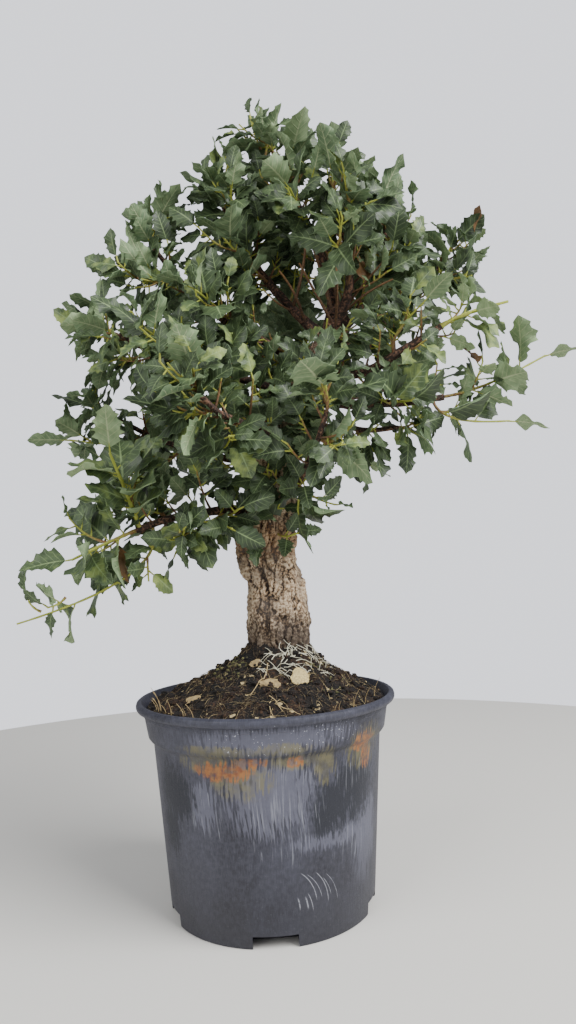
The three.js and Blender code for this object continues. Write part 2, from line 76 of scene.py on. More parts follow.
def makeCamera(fit):
    yaw, pitch, roll = (math.radians(fit[key]) for key in ("yaw", "pitch", "roll"))
    forward = Vector((math.sin(yaw) * math.cos(pitch), math.cos(yaw) * math.cos(pitch), math.sin(pitch)))
    level = forward.cross(Vector((0, 0, 1))).normalized()
    upright = level.cross(forward)
    right = level * math.cos(roll) + upright * math.sin(roll)
    up = upright * math.cos(roll) - level * math.sin(roll)
    data = bpy.data.cameras.new("camera")
    data.sensor_width = fit["sensor"]
    data.lens = fit["focal"] / fit["imageHeight"] * fit["sensor"]
    camera = bpy.data.objects.new("camera", data)
    turned = Matrix((right, up, -forward)).transposed()
    camera.matrix_world = Matrix.Translation(Vector(fit["place"]) * mm) @ turned.to_4x4()
    bpy.context.scene.collection.objects.link(camera)
    bpy.context.scene.camera = camera


makeCamera(cameraFit)


# The linear colour of a web colour code
def colour(code):
    parts = [int(code[i : i + 2], 16) / 255 for i in (1, 3, 5)]
    return [c / 12.92 if c <= 0.04045 else ((c + 0.055) / 1.055) ** 2.4 for c in parts] + [1.0]


# Fills an input with a number, a colour code or a value from another node
def plug(given, socket):
    if isinstance(given, Value):
        given.tree.links.new(given.socket, socket)
    else:
        socket.default_value = colour(given) if isinstance(given, str) else given


def addNode(tree, kind, inputs, output=0, **settings):
    made = tree.nodes.new("ShaderNode" + kind)
    for key, setting in settings.items():
        setattr(made, key, setting)
    for key, given in inputs.items():
        plug(given, made.inputs[key])
    return Value(made.outputs[output])


def mathsOf(operation, *values):
    tree = next(value.tree for value in values if isinstance(value, Value))
    return addNode(tree, "Math", dict(enumerate(values)), operation=operation)


# A value in a shader tree: a sum or a product of values is built as maths nodes
class Value:

    def __init__(self, socket):
        self.socket = socket
        self.tree = socket.id_data

    def __add__(self, other):
        return mathsOf("ADD", self, other)

    def __sub__(self, other):
        return mathsOf("SUBTRACT", self, other)

    def __rsub__(self, other):
        return mathsOf("SUBTRACT", other, self)

    def __mul__(self, other):
        return mathsOf("MULTIPLY", self, other)

    def __truediv__(self, other):
        return mathsOf("DIVIDE", self, other)

    def __rtruediv__(self, other):
        return mathsOf("DIVIDE", other, self)

    def __abs__(self):
        return mathsOf("ABSOLUTE", self)

    def squared(self):
        return mathsOf("POWER", self, 2.0)

    def part(self, axis):
        return addNode(self.tree, "SeparateXYZ", {0: self}, axis)

    def stretch(self, low, high, toLow=0.0, toHigh=1.0):
        inputs = {"Value": self, "From Min": low, "From Max": high, "To Min": toLow, "To Max": toHigh}
        return addNode(self.tree, "MapRange", inputs, interpolation_type="SMOOTHSTEP")

    def tinted(self, share, tint):
        return mixOf(share, self, tint)

    def ramp(self, *stops):
        made = addNode(self.tree, "ValToRGB", {"Fac": self})
        elements = made.socket.node.color_ramp.elements
        while len(elements) < len(stops):
            elements.new(0.5)
        for element, (position, code) in zip(elements, stops):
            element.position = position
            element.color = colour(code)
        return made


def mixOf(share, first, second):
    return addNode(share.tree, "Mix", {0: share, 6: first, 7: second}, 2, data_type="RGBA")


def inMillimetres(tree):
    place = addNode(tree, "TexCoord", {}, "Object")
    return addNode(tree, "VectorMath", {0: place, "Scale": 1000.0}, operation="SCALE")


def attributeOf(tree, name, output="Fac"):
    return addNode(tree, "Attribute", {}, output, attribute_name=name)


# A node group's tree and the values given to it. An input without a default is a vector.
def newGroup(name, inputs, outputs=("Mask",)):
    group = bpy.data.node_groups.new(name, "ShaderNodeTree")
    for label, default in inputs.items():
        kind = "NodeSocketVector" if default is None else "NodeSocketFloat"
        socket = group.interface.new_socket(label, in_out="INPUT", socket_type=kind)
        if default is not None:
            socket.default_value = default
    for label in outputs:
        group.interface.new_socket(label, in_out="OUTPUT", socket_type="NodeSocketFloat")
    return group, [Value(socket) for socket in group.nodes.new("NodeGroupInput").outputs][: len(inputs)]


def endGroup(group, *results):
    for value, socket in zip(results, group.nodes.new("NodeGroupOutput").inputs):
        plug(value, socket)
    return group


def useGroup(tree, group, *values):
    made = tree.nodes.new("ShaderNodeGroup")
    made.node_tree = group
    for value, socket in zip(values, made.inputs):
        plug(value, socket)
    return [Value(socket) for socket in made.outputs]


# Noise of a size in millimetres, stretched between two levels
def makeMottle():
    inputs = {"Place": None, "Size": 10, "Detail": 4, "Low": 0.35, "High": 0.65, "Shift": 0}
    group, (place, size, detail, low, high, shift) = newGroup("mottle", inputs)
    shifted = addNode(group, "VectorMath", {0: place, 1: shift})
    found = addNode(group, "TexNoise", {"Vector": shifted, "Scale": 1.0 / size, "Detail": detail}, "Fac")
    return endGroup(group, found.stretch(low, high))


# An oval patch with a ragged edge, on a surface unrolled to millimetres around and up
def makePatch():
    names = ["Around", "Height", "Centre around", "Centre height", "Half width", "Half height", "Ragged"]
    group, given = newGroup("patch", dict.fromkeys(names, 1))
    around, height, middle, level, halfWidth, halfHeight, ragged = given
    across = ((around - middle) / halfWidth).squared()
    upward = ((height - level) / halfHeight).squared()
    away = mathsOf("SQRT", across + upward)
    return endGroup(group, (away + ragged).stretch(1.15, 0.7))


# Midrib and side veins, from the place on a leaf: x along it and y across it from -1 to 1
def makeVeins():
    inputs = {"Place": None, "Pairs": 7, "Slant": 1.6}
    group, (place, pairs, slant) = newGroup("veins", inputs, ("Midrib", "Veins"))
    along, out = place.part("X"), abs(place.part("Y"))
    midrib = out.stretch(0.13 - along * 0.09, 0.01)
    count = along * pairs - out * slant
    line = abs(mathsOf("FRACT", count) - 0.5).stretch(0.13, 0.02)
    return endGroup(group, midrib, line * out.stretch(1.0, 0.55))


# A curved scratch: part of a circle on the unrolled surface, between two angles in radians
def makeScratch():
    names = ["Around", "Height", "Centre around", "Centre height", "Radius", "Half width", "From", "To"]
    group, given = newGroup("scratch", dict.fromkeys(names, 1))
    around, height, middle, level, radius, halfWidth, first, last = given
    across, upward = around - middle, height - level
    off = abs(mathsOf("SQRT", across.squared() + upward.squared()) - radius)
    turned = mathsOf("ARCTAN2", upward, across)
    begun = turned.stretch(first, first + 0.12)
    going = turned.stretch(last, last - 0.12)
    return endGroup(group, off.stretch(halfWidth, 0.0) * (begun * going))


mottle = makeMottle()
patch = makePatch()
scratch = makeScratch()
veins = makeVeins()


def mottled(tree, size, low, high, detail=4.0, shift=0.0, place=None):
    return useGroup(tree, mottle, place or inMillimetres(tree), size, detail, low, high, shift)[0]


def newMaterial(name):
    material = bpy.data.materials.new(name)
    material.use_nodes = True
    return material, material.node_tree, material.node_tree.nodes["Principled BSDF"]


# Feeds a shader its colour and roughness, and a bump whose depth is in millimetres
def dress(shader, base, roughness, height, depth, strength):
    bump = addNode(base.tree, "Bump", {"Height": height, "Distance": depth * mm, "Strength": strength})
    for key, given in (("Base Color", base), ("Roughness", roughness), ("Normal", bump)):
        plug(given, shader.inputs[key])


# Vectors, curves and seeded draws, as the solids use them
def unit(a):
    return a / math.sqrt(a @ a)


def across(a, along):
    a = np.asarray(a, float)
    return unit(a - along * (a @ along))


# A number from 0 to 1 that depends only on whole-number keys
def draw(*keys):
    h = 2166136261
    for key in keys:
        h = ((h ^ (key + 17)) * 16777619) & 0xFFFFFFFF
        h = ((h ^ (h >> 13)) * 1540483477) & 0xFFFFFFFF
        h ^= h >> 15
    return h / 4294967296


def between(span, share):
    return span[0] + (span[1] - span[0]) * share


# A point on a smooth curve through the given points, with t from 0 to 1
def curveAt(points, t):
    spans = len(points) - 1
    x = min(max(t, 0), 1) * spans
    i = min(int(x), spans - 1)
    f = x - i
    a, b, c, d = (np.array(points[k], float) for k in (max(i - 1, 0), i, i + 1, min(i + 2, spans)))
    return (2 * b + (c - a) * f + (2 * a - 5 * b + 4 * c - d) * f**2 + (3 * b - a - 3 * c + d) * f**3) / 2


def curveLine(points, steps):
    return [curveAt(points, i / steps) for i in range(steps + 1)]


def directionAt(points, t):
    return unit((curveAt(points, t + 0.01) - curveAt(points, t - 0.01))[:3])


def runOf(points):
    return sum(math.dist(points[i][:3], points[i + 1][:3]) for i in range(len(points) - 1))


# The point at a share t of a line of points, and the line's direction there
def onLine(line, t):
    x = t * (len(line) - 1)
    i = min(int(x), len(line) - 2)
    span = line[i + 1] - line[i]
    return line[i] + span * (x - i), unit(span[:3])


def smooth(value, low, high):
    share = min(max((value - low) / (high - low), 0), 1)
    return share * share * (3 - 2 * share)


# A mesh in the making, in millimetres: closed shapes are added one by one
class Pile:

    def __init__(self):
        self.points, self.faces, self.slots = [], [], []
        self.place, self.tone = [], []
        self.count = 0

    # place is a vector for each point, and tone is a number for each point or one for all
    def add(self, points, faces, slot=0, place=None, tone=0.5):
        n = len(points)
        self.points.append(np.asarray(points, float))
        self.faces += [tuple(i + self.count for i in face) for face in faces]
        self.slots += slot if isinstance(slot, list) else [slot] * len(faces)
        self.place.append(np.zeros((n, 3)) if place is None else np.asarray(place, float))
        self.tone.append(np.full(n, tone) if np.ndim(tone) == 0 else np.asarray(tone, float))
        self.count += n

    def addTube(self, centres, radii, sides, tone, slot=0, swell=None):
        self.add(*tubeOf(centres, radii, sides, swell), slot, None, tone)

    def make(self, name, materials, slot, replaced=(), sharpFrom=50):
        mesh = bpy.data.meshes.new(name)
        mesh.from_pydata((np.concatenate(self.points) * mm).tolist(), [], self.faces)
        mesh.update()
        for material in materials:
            mesh.materials.append(material)
        mesh.polygons.foreach_set("material_index", self.slots)
        mesh.shade_smooth()
        mesh.set_sharp_from_angle(angle=math.radians(sharpFrom))
        place = mesh.attributes.new("place", "FLOAT_VECTOR", "POINT")
        place.data.foreach_set("vector", np.concatenate(self.place).ravel())
        tone = mesh.attributes.new("tone", "FLOAT", "POINT")
        tone.data.foreach_set("value", np.concatenate(self.tone))
        piece = bpy.data.objects.new(name, mesh)
        bpy.context.scene.collection.objects.link(piece)
        seatPiece(piece, replaced)


def seatPiece(piece, replaced):
    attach(piece, "root")
    if replaced:
        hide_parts(*replaced)


def tubeFaces(rings, sides):
    faces = []
    for i in range(rings - 1):
        for j in range(sides):
            a, b = i * sides + j, i * sides + (j + 1) % sides
            faces.append((a, b, b + sides, a + sides))
    top = (rings - 1) * sides
    return faces + [tuple(reversed(range(sides))), tuple(range(top, top + sides))]


# Points and faces of a closed tube. swell(i, angle) is a factor on its radius.
def tubeOf(centres, radii, sides, swell=None):
    centres = np.asarray(centres, float)
    last = len(centres) - 1
    side = None
    points = []
    for i, centre in enumerate(centres):
        along = unit(centres[min(i + 1, last)] - centres[max(i - 1, 0)])
        side = across(side if side is not None else ([1, 0, 0] if abs(along[2]) > 0.9 else [0, 0, 1]), along)
        other = np.cross(along, side)
        for j in range(sides):
            angle = j / sides * 2 * math.pi
            r = radii[i] * (swell(i, angle) if swell else 1)
            points.append(centre + r * (math.cos(angle) * side + math.sin(angle) * other))
    return points, tubeFaces(last + 1, sides)


# Trunk and limbs: x, y, z and radius of each point on their centrelines, in millimetres
trunk = [
    (15, 0, 196, 31), (15, 0, 236, 31), (16, 0, 262, 31), (15.5, 0, 290, 28.5),
    (12, 0, 312, 27), (7, 0, 328, 28.5), (6, 0, 345, 30), (8, 0, 364, 29),
    (12, 0, 382, 27.5), (17, 1, 408, 24), (24, 2, 440, 21), (34, 4, 474, 18.5),
    (50, 6, 504, 16), (68, 8, 530, 13.5), (83, 9, 556, 11.5), (88, 10, 584, 8),
]
limbs = {
    "lowLeft": [
        (-2, -8, 374, 6), (-30, -22, 376, 5.2), (-60, -32, 372, 4.6),
        (-90, -40, 366, 4.2), (-114, -45, 358, 3.6),
    ],
    "left": [
        (12, 8, 415, 6), (-20, 22, 429, 4.8), (-60, 32, 441, 4), (-105, 38, 459, 3.4), (-150, 35, 482, 2.6),
    ],
    "midLeft": [
        (30, -2, 492, 6), (-7, -20, 503, 4.8), (-50, -38, 511, 4.2),
        (-92, -40, 528, 3.6), (-126, -36, 546, 2.8),
    ],
    "upLeft": [
        (50, 4, 522, 6), (12, -5, 545, 4.8), (-28, -10, 568, 4.2),
        (-64, -10, 603, 3.5), (-92, -6, 640, 2.7),
    ],
    "crownLeft": [
        (76, 8, 548, 7), (42, 6, 584, 5.6), (14, 14, 621, 4.8), (-8, 18, 662, 3.8), (-24, 18, 698, 2.8),
    ],
    "apex": [(87, 9, 572, 8), (84, 14, 616, 6), (68, 10, 660, 5), (48, 6, 706, 3.8), (32, 2, 744, 2.8)],
    "apexRight": [(87, 6, 560, 7), (101, -18, 596, 5), (97, -28, 640, 4), (89, -30, 682, 2.8)],
    "crownRight": [(86, 10, 556, 7), (126, 28, 594, 5.2), (150, 42, 648, 4), (152, 45, 692, 2.8)],
    "upRight": [(66, 2, 510, 7), (110, -22, 506, 5.6), (146, -38, 522, 4.8), (182, -50, 541, 3.6)],
    "backRight": [(84, 10, 545, 7), (144, 52, 576, 5.2), (196, 76, 622, 4), (228, 84, 666, 2.8)],
    "right": [(50, 4, 486, 7), (95, -18, 475, 5.6), (142, -28, 473, 4.6), (186, -30, 477, 3.6)],
    "lowRight": [(30, -6, 440, 5), (74, -28, 452, 3.6), (104, -38, 446, 3.2), (136, -44, 446, 2.6)],
    "front": [(20, -14, 380, 5), (42, -50, 402, 3.6), (55, -84, 428, 3.2), (63, -104, 452, 2.6)],
    "frontLeft": [(22, -8, 446, 5.5), (-4, -62, 449, 4.2), (-28, -104, 453, 3.4), (-44, -128, 464, 2.6)],
    "back": [(46, 10, 498, 7), (42, 72, 538, 5), (28, 116, 582, 3.2)],
    "backTop": [(84, 14, 552, 7), (122, 74, 602, 4.6), (144, 116, 652, 2.8)],
    "backLeft": [(26, 6, 446, 6), (-26, 72, 500, 4.4), (-74, 106, 546, 2.8)],
    "backLow": [(60, 10, 482, 6), (134, 64, 506, 4.4), (192, 98, 526, 2.8)],
}

# Leafy shoots: limb, share along it, tip of the shoot and its leaves in the solids, with what sets it apart:
# leaf size, share of the stem that bears leaves, paleness, stem radius, and how much scene adds to it (fill)
shoots = {
    "crown_tip": ("apex", 1, (8, 2, 786), 6, {}),
    "crown_right": ("apex", 0.8, (46, -10, 776), 5, {"fill": 0.4}),
    "crown_back": ("apex", 0.7, (-2, 48, 770), 5, {}),
    "crown_front": ("apex", 0.55, (34, -70, 690), 5, {}),
    "dome_left_tip": ("crownLeft", 1, (-32, 12, 748), 5, {}),
    "dome_left_front": ("crownLeft", 0.88, (-12, -44, 706), 5, {}),
    "dome_left_side": ("crownLeft", 0.44, (-54, -24, 680), 5, {}),
    "dome_left_back": ("crownLeft", 0.5, (-40, 74, 680), 5, {}),
    "dome_tip": ("apexRight", 1, (86, -26, 738), 5, {"fill": 0.6}),
    "dome_front": ("apexRight", 0.55, (66, -92, 618), 5, {}),
    "dome_middle": ("apexRight", 0.8, (118, -64, 690), 5, {}),
    "dome_right_tip": ("crownRight", 1, (130, 30, 744), 5, {"fill": 0.4}),
    "dome_right_side": ("crownRight", 0.75, (162, 12, 708), 4, {"fill": 0.5}),
    "dome_right_front": ("crownRight", 0.45, (156, -26, 656), 5, {}),
    "dome_right_back": ("crownRight", 0.7, (112, 92, 722), 5, {}),
    "shoulder_tip": ("upLeft", 1, (-88, 4, 706), 6, {}),
    "shoulder_back": ("upLeft", 0.6, (-122, 62, 652), 5, {}),
    "shoulder_front": ("upLeft", 0.8, (-156, -30, 614), 5, {}),
    "shoulder_low": ("upLeft", 0.45, (-66, -86, 588), 5, {}),
    "left_high": ("midLeft", 1, (-170, -20, 580), 5, {"fill": 0.6}),
    "left_side": ("midLeft", 0.8, (-186, 14, 545), 4, {}),
    "left_front": ("midLeft", 0.6, (-122, -98, 556), 5, {}),
    "left_middle": ("midLeft", 0.35, (-52, -104, 520), 5, {}),
    "left_tip": ("left", 1, (-194, 20, 505), 4, {"fill": 0.6}),
    "left_reach": ("left", 0.8, (-214, 2, 452), 4, {}),
    "left_low": ("left", 0.6, (-158, 48, 412), 5, {}),
    "left_back": ("left", 0.45, (-128, 112, 470), 5, {}),
    "low_rise": ("lowLeft", 0.96, (-136, -95, 450), 5, {"size": 1.25, "pale": 1, "fill": 0.7, "stem": 2.3}),
    "low_reach": ("lowLeft", 1, (-192, -78, 322), 5, {"size": 1.15, "pale": 0.6, "fill": 0.5, "stem": 2}),
    "low_trail": ("lowLeft", 0.84, (-220, -62, 278), 5, {"last": 0.85, "pale": 0.7, "fill": 0.4}),
    "low_side": ("lowLeft", 0.7, (-180, -6, 382), 4, {}),
    "low_hang": ("lowLeft", 0.5, (-94, -28, 312), 4, {"fill": 0.6}),
    "low_inner": ("lowLeft", 0.3, (-62, -64, 350), 3, {}),
    "front_left_tip": ("frontLeft", 1, (-54, -158, 500), 5, {}),
    "front_left_side": ("frontLeft", 0.75, (-88, -132, 448), 5, {}),
    "front_left_low": ("frontLeft", 0.5, (-34, -108, 402), 5, {}),
    "front_tip": ("front", 1, (58, -128, 504), 4, {"size": 1.2}),
    "front_right": ("front", 0.7, (92, -96, 410), 5, {"size": 1.1}),
    "front_low": ("front", 0.3, (34, -62, 344), 4, {"fill": 0.3}),
    "right_spear": ("upRight", 1, (244, -62, 559), 4, {"last": 0.7, "pale": 1, "fill": 0.3, "stem": 2.5}),
    "right_upper": ("upRight", 0.6, (176, -74, 582), 5, {}),
    "right_back_tip": ("backRight", 1, (250, 60, 694), 5, {"fill": 0.5}),
    "right_back_side": ("backRight", 0.75, (246, 40, 636), 5, {}),
    "right_back_in": ("backRight", 0.5, (190, 66, 688), 5, {}),
    "right_tip": ("right", 1, (318, -22, 526), 5, {"pale": 0.4, "fill": 0.3}),
    "right_low": ("right", 0.9, (276, -30, 442), 4, {"pale": 0.3, "fill": 0.3}),
    "right_front": ("right", 0.6, (158, -86, 464), 5, {"fill": 0.4}),
    "low_right_tip": ("lowRight", 1, (172, -62, 430), 4, {"fill": 0.4}),
    "low_right_hang": ("lowRight", 0.6, (122, -62, 406), 3, {"fill": 0.3}),
    "back_tip": ("back", 1, (18, 158, 628), 6, {}),
    "back_top_tip": ("backTop", 1, (156, 146, 700), 6, {}),
    "back_left_tip": ("backLeft", 1, (-112, 132, 588), 6, {}),
    "back_low_tip": ("backLow", 1, (196, 140, 566), 6, {"fill": 0.2}),
}

# Leaf and stem sizes, the same as in the solids
leafPlan = {
    "length": 41,
    "width": 0.66,  # share of the length
    "petiole": 7,
    "wave": 0.09,
    "turn": 2.4,  # radians round the stem from one leaf to the next
    "firstLeaf": 0.3,
    "endReach": 28,
    "gap": 7.5,
    "tries": 10,
    "stemStep": 34,
    "limbSteps": 6,
}


limbLines = {name: np.array(curveLine(points, leafPlan["limbSteps"])) for name, points in limbs.items()}


# Start, bend and tip of a shoot's stem, which leaves its limb square
def bendOf(limb, at, tip, last):
    point, ahead = onLine(limbLines[limb], at)
    start = point[:3]
    whole = np.array(tip, float) - start
    reach = math.sqrt(whole @ whole) - (0 if last else leafPlan["endReach"])
    out = ahead if at == 1 else across(whole, ahead)
    return start, start + out * (reach * 0.35), start + unit(whole) * reach


def bendAt(bend, t):
    start, middle, tip = bend
    return start * (1 - t) ** 2 + middle * (2 * t * (1 - t)) + tip * (t * t)


def bendDirection(bend, t):
    start, middle, tip = bend
    return unit((middle - start) * (1 - t) + (tip - middle) * t)


def bendLine(bend, steps):
    return np.array([bendAt(bend, i / steps) for i in range(steps + 1)])


def stemLine(bend):
    steps = math.floor(math.dist(bend[0], bend[2]) / leafPlan["stemStep"] + 0.5)
    return bendLine(bend, max(2, steps))


# Points spread over a blade, by which its distance to others is judged
probeRows = [(-0.1, 0), (0.1, 0.5), (0.34, 1), (0.6, 0.85), (0.8, 0.5), (1, 0)]
probePlaces = np.array([(u, v * side) for u, v in probeRows for side in (-1, 0, 1)])


def probesOf(leaf):
    u, v = probePlaces[:, :1], probePlaces[:, 1:]
    blade = leaf["length"] - leafPlan["petiole"]
    drop = -leaf["curl"] * u * u * blade
    ahead = leaf["along"] * (leafPlan["petiole"] + u * blade)
    return leaf["root"] + ahead + leaf["side"] * (v * leaf["width"] * 0.5) + leaf["facing"] * drop


def turnedRound(ahead, angle):
    up = across([0, 1, 0] if abs(ahead[2]) > 0.95 else [0, 0, 1], ahead)
    return up * math.cos(angle) + np.cross(ahead, up) * math.sin(angle)


# A leaf that leaves its stem at an angle round it, opened away from it
def aimLeaf(root, ahead, angle, opening, jitter, size, keys):
    around = turnedRound(ahead, angle)
    along = unit(ahead * math.cos(opening) + around * math.sin(opening) + np.array([0, 0, 0.12]))
    facing = across(ahead * 0.7 + np.array([0, -0.1, 0.5]) + jitter, along)
    return {
        "root": root,
        "along": along,
        "facing": facing,
        "side": np.cross(facing, along),
        "length": leafPlan["petiole"] + size,
        "width": size * leafPlan["width"] * (0.88 + 0.24 * draw(*keys, 6)),
        "curl": 0.1 + 0.22 * draw(*keys, 7),
        "wave": 0.5 + 0.5 * draw(*keys, 8),
        "keys": keys,
    }


# The leaf that the solids hold at this place, by the same rule
def solidLeaf(line, leaves, extras, index, k, attempt):
    last = extras.get("last", 1)
    terminal = k == leaves - 1 and last == 1
    first = leafPlan["firstLeaf"]
    t = 0.985 if terminal else first + (last - first) * (k + 0.3) / (leaves - 0.2)
    root, ahead = onLine(line, t)
    opening = 0.25 + 0.06 * attempt if terminal else 0.85 + 0.35 * draw(index, k, attempt, 1)
    jitter = np.array([draw(index, k, attempt, key) - 0.5 for key in (2, 3, 4)])
    small = (0.85 if attempt > 4 else 1) * (0.84 + 0.32 * draw(index, k, 5)) * extras.get("size", 1)
    size = leafPlan["length"] * small * (0.9 if terminal else 1)
    angle = index * 1.7 + k * leafPlan["turn"] + attempt * 0.9
    return {**aimLeaf(root, ahead, angle, opening, jitter, size, (index, k)), "at": t}


# Whether all probes keep a gap from other points, which may have a radius of their own
def farFrom(probes, others, gap):
    if len(others) == 0:
        return True
    apart = np.sqrt(((probes[:, None, :] - others[None, :, :3]) ** 2).sum(axis=2))
    return bool((apart > gap + (others[:, 3] if others.shape[1] == 4 else 0)).all())


# Every shoot's stem and the leaves that the solids hold, each turned until it clears the others
def layOutLeaves():
    wood = np.array([point for points in (trunk, *limbs.values()) for point in curveLine(points, 30)])
    made = []
    for limb, at, tip, leaves, extras in shoots.values():
        bend = bendOf(limb, at, tip, "last" in extras)
        made.append({"bend": bend, "line": stemLine(bend), "leaves": [], "extras": extras})
    stems = [np.array([onLine(one["line"], i / 20)[0] for i in range(21)]) for one in made]
    taken = [np.zeros((0, 3)) for _ in made]
    for index, (one, shoot) in enumerate(zip(made, shoots.values())):
        otherStems = np.concatenate([s for i, s in enumerate(stems) if i != index])
        otherLeaves = np.concatenate([s for i, s in enumerate(taken) if i != index])
        for k in range(shoot[3]):
            for attempt in range(leafPlan["tries"]):
                leaf = solidLeaf(one["line"], shoot[3], one["extras"], index, k, attempt)
                probes = probesOf(leaf)
                near = [(wood, 4), (otherStems, 5), (otherLeaves, leafPlan["gap"])]
                near.append((taken[index], leafPlan["gap"] - 2))
                if all(farFrom(probes, others, gap) for others, gap in near):
                    one["leaves"].append(leaf)
                    taken[index] = np.concatenate([taken[index], probes])
                    break
    return made, wood, np.concatenate(taken)


laidShoots, woodPoints, leafPoints = layOutLeaves()
report(f"leaves of the solids laid out: {sum(len(shoot['leaves']) for shoot in laidShoots)}")


# Materials of the leaves and stems. The veins' shares are those of the side veins and the midrib.
leafLook = {
    "top": {
        "cloud": (9.0, 0.3, 0.7),
        "cloudShare": 0.35,
        "tones": [(0.05, "#252f22"), (0.6, "#4e603f"), (0.98, "#98a95a")],
        "vein": "#93a974",
        "veinShares": (0.3, 0.7),
    },
    "underside": {
        "cloud": (6.0, 0.25, 0.75),
        "cloudShare": 0.4,
        "tones": [(0.1, "#5d7553"), (0.95, "#9cb183")],
        "vein": "#b7c296",
        "veinShares": (0.45, 0.85),
    },
    "dry": "#77593a",
    "stem": [(0.05, "#4a362b"), (0.45, "#84603e"), (0.8, "#a9b04a")],
}


def makeLeafSide(name, look):
    side = look[name]
    material, tree, shader = newMaterial("leaf " + name)
    place = attributeOf(tree, "place", "Vector")
    midrib, lines = useGroup(tree, veins, place, 7.0)
    cloud = mottled(tree, *side["cloud"])
    depth = cloud * side["cloudShare"] + attributeOf(tree, "tone") * (1 - side["cloudShare"])
    base = depth.ramp(*side["tones"])
    for mask, share in zip((lines, midrib), side["veinShares"]):
        base = base.tinted(mask * share, side["vein"])
    base = base.tinted(place.part("Z"), look["dry"])
    if name == "top":
        height = mottled(tree, 0.9, 0.3, 0.7) * 0.25 - lines
        dress(shader, base, cloud.stretch(0, 1, 0.36, 0.52), height, 0.35, 0.5)
        shader.inputs["Specular IOR Level"].default_value = 0.4
    else:
        dress(shader, base, 0.72, lines, 0.4, 0.7)
    return material


def makeStemBark(look):
    material, tree, shader = newMaterial("stem")
    grain = mottled(tree, 2.2, 0.3, 0.7)
    shifted = attributeOf(tree, "tone") + (grain - 0.5) * 0.25
    dress(shader, shifted.ramp(*look["stem"]), 0.62, grain, 0.3, 0.5)
    return material


leafMaterials = [makeLeafSide("top", leafLook), makeLeafSide("underside", leafLook), makeStemBark(leafLook)]

# Shape of one leaf: a toothed, leathery blade with a raised midrib below
blade = {
    "rows": 15,
    "columns": (-1, -0.55, 0, 0.55, 1),
    "outline": [
        (0, 0.12), (0.05, 0.42), (0.14, 0.76), (0.3, 0.98), (0.45, 1),
        (0.62, 0.9), (0.78, 0.72), (0.9, 0.5), (1, 0),
    ],
    "toothRows": 3,  # rows from one tooth to the next
    "toothOut": 0.15,
    "thickness": 0.4,
    "midrib": 0.45,
    "dryShare": 0.003,
    "stalk": ((0, 0.9), (0.5, 0.7), (1, 0.3)),  # share along the petiole, radius
    "stalkTone": 0.82,
}


def makeBladeGrid(shape):
    rows, columns = shape["rows"], shape["columns"]
    row = np.repeat(np.arange(rows), len(columns))
    u, v = row / rows, np.tile(columns, rows)
    known = np.array(shape["outline"])
    return row, u, v, np.interp(u, known[:, 0], known[:, 1])


# Upper sheet, lower sheet, the rim between them, and the tip point that closes both
def bladeFaces(rows, wide):
    below, tip = rows * wide, 2 * rows * wide
    faces, slots = [], []
    for i in range(rows - 1):
        for a in range(i * wide, i * wide + wide - 1):
            b = a + below
            faces += [(a, a + wide, a + wide + 1, a + 1), (b, b + 1, b + wide + 1, b + wide)]
            slots += [0, 1]
    end = (rows - 1) * wide
    for j in range(wide - 1):
        a, b = end + j, end + below + j
        faces += [(a, tip, a + 1), (b + 1, tip, b), (j + 1, j + 1 + below, j + below, j)]
        slots += [0, 1, 1]
    for i in range(rows - 1):
        a, b = i * wide, i * wide + wide - 1
        faces += [(a + below, a + below + wide, a + wide, a), (b, b + wide, b + wide + below, b + below)]
    faces += [(end + below, tip, end), (end + wide - 1, tip, end + wide - 1 + below)]
    return faces, slots + [1] * (2 * rows)


gridRow, gridU, gridV, gridHalf = makeBladeGrid(blade)
gridFaces, gridSlots = bladeFaces(blade["rows"], len(blade["columns"]))


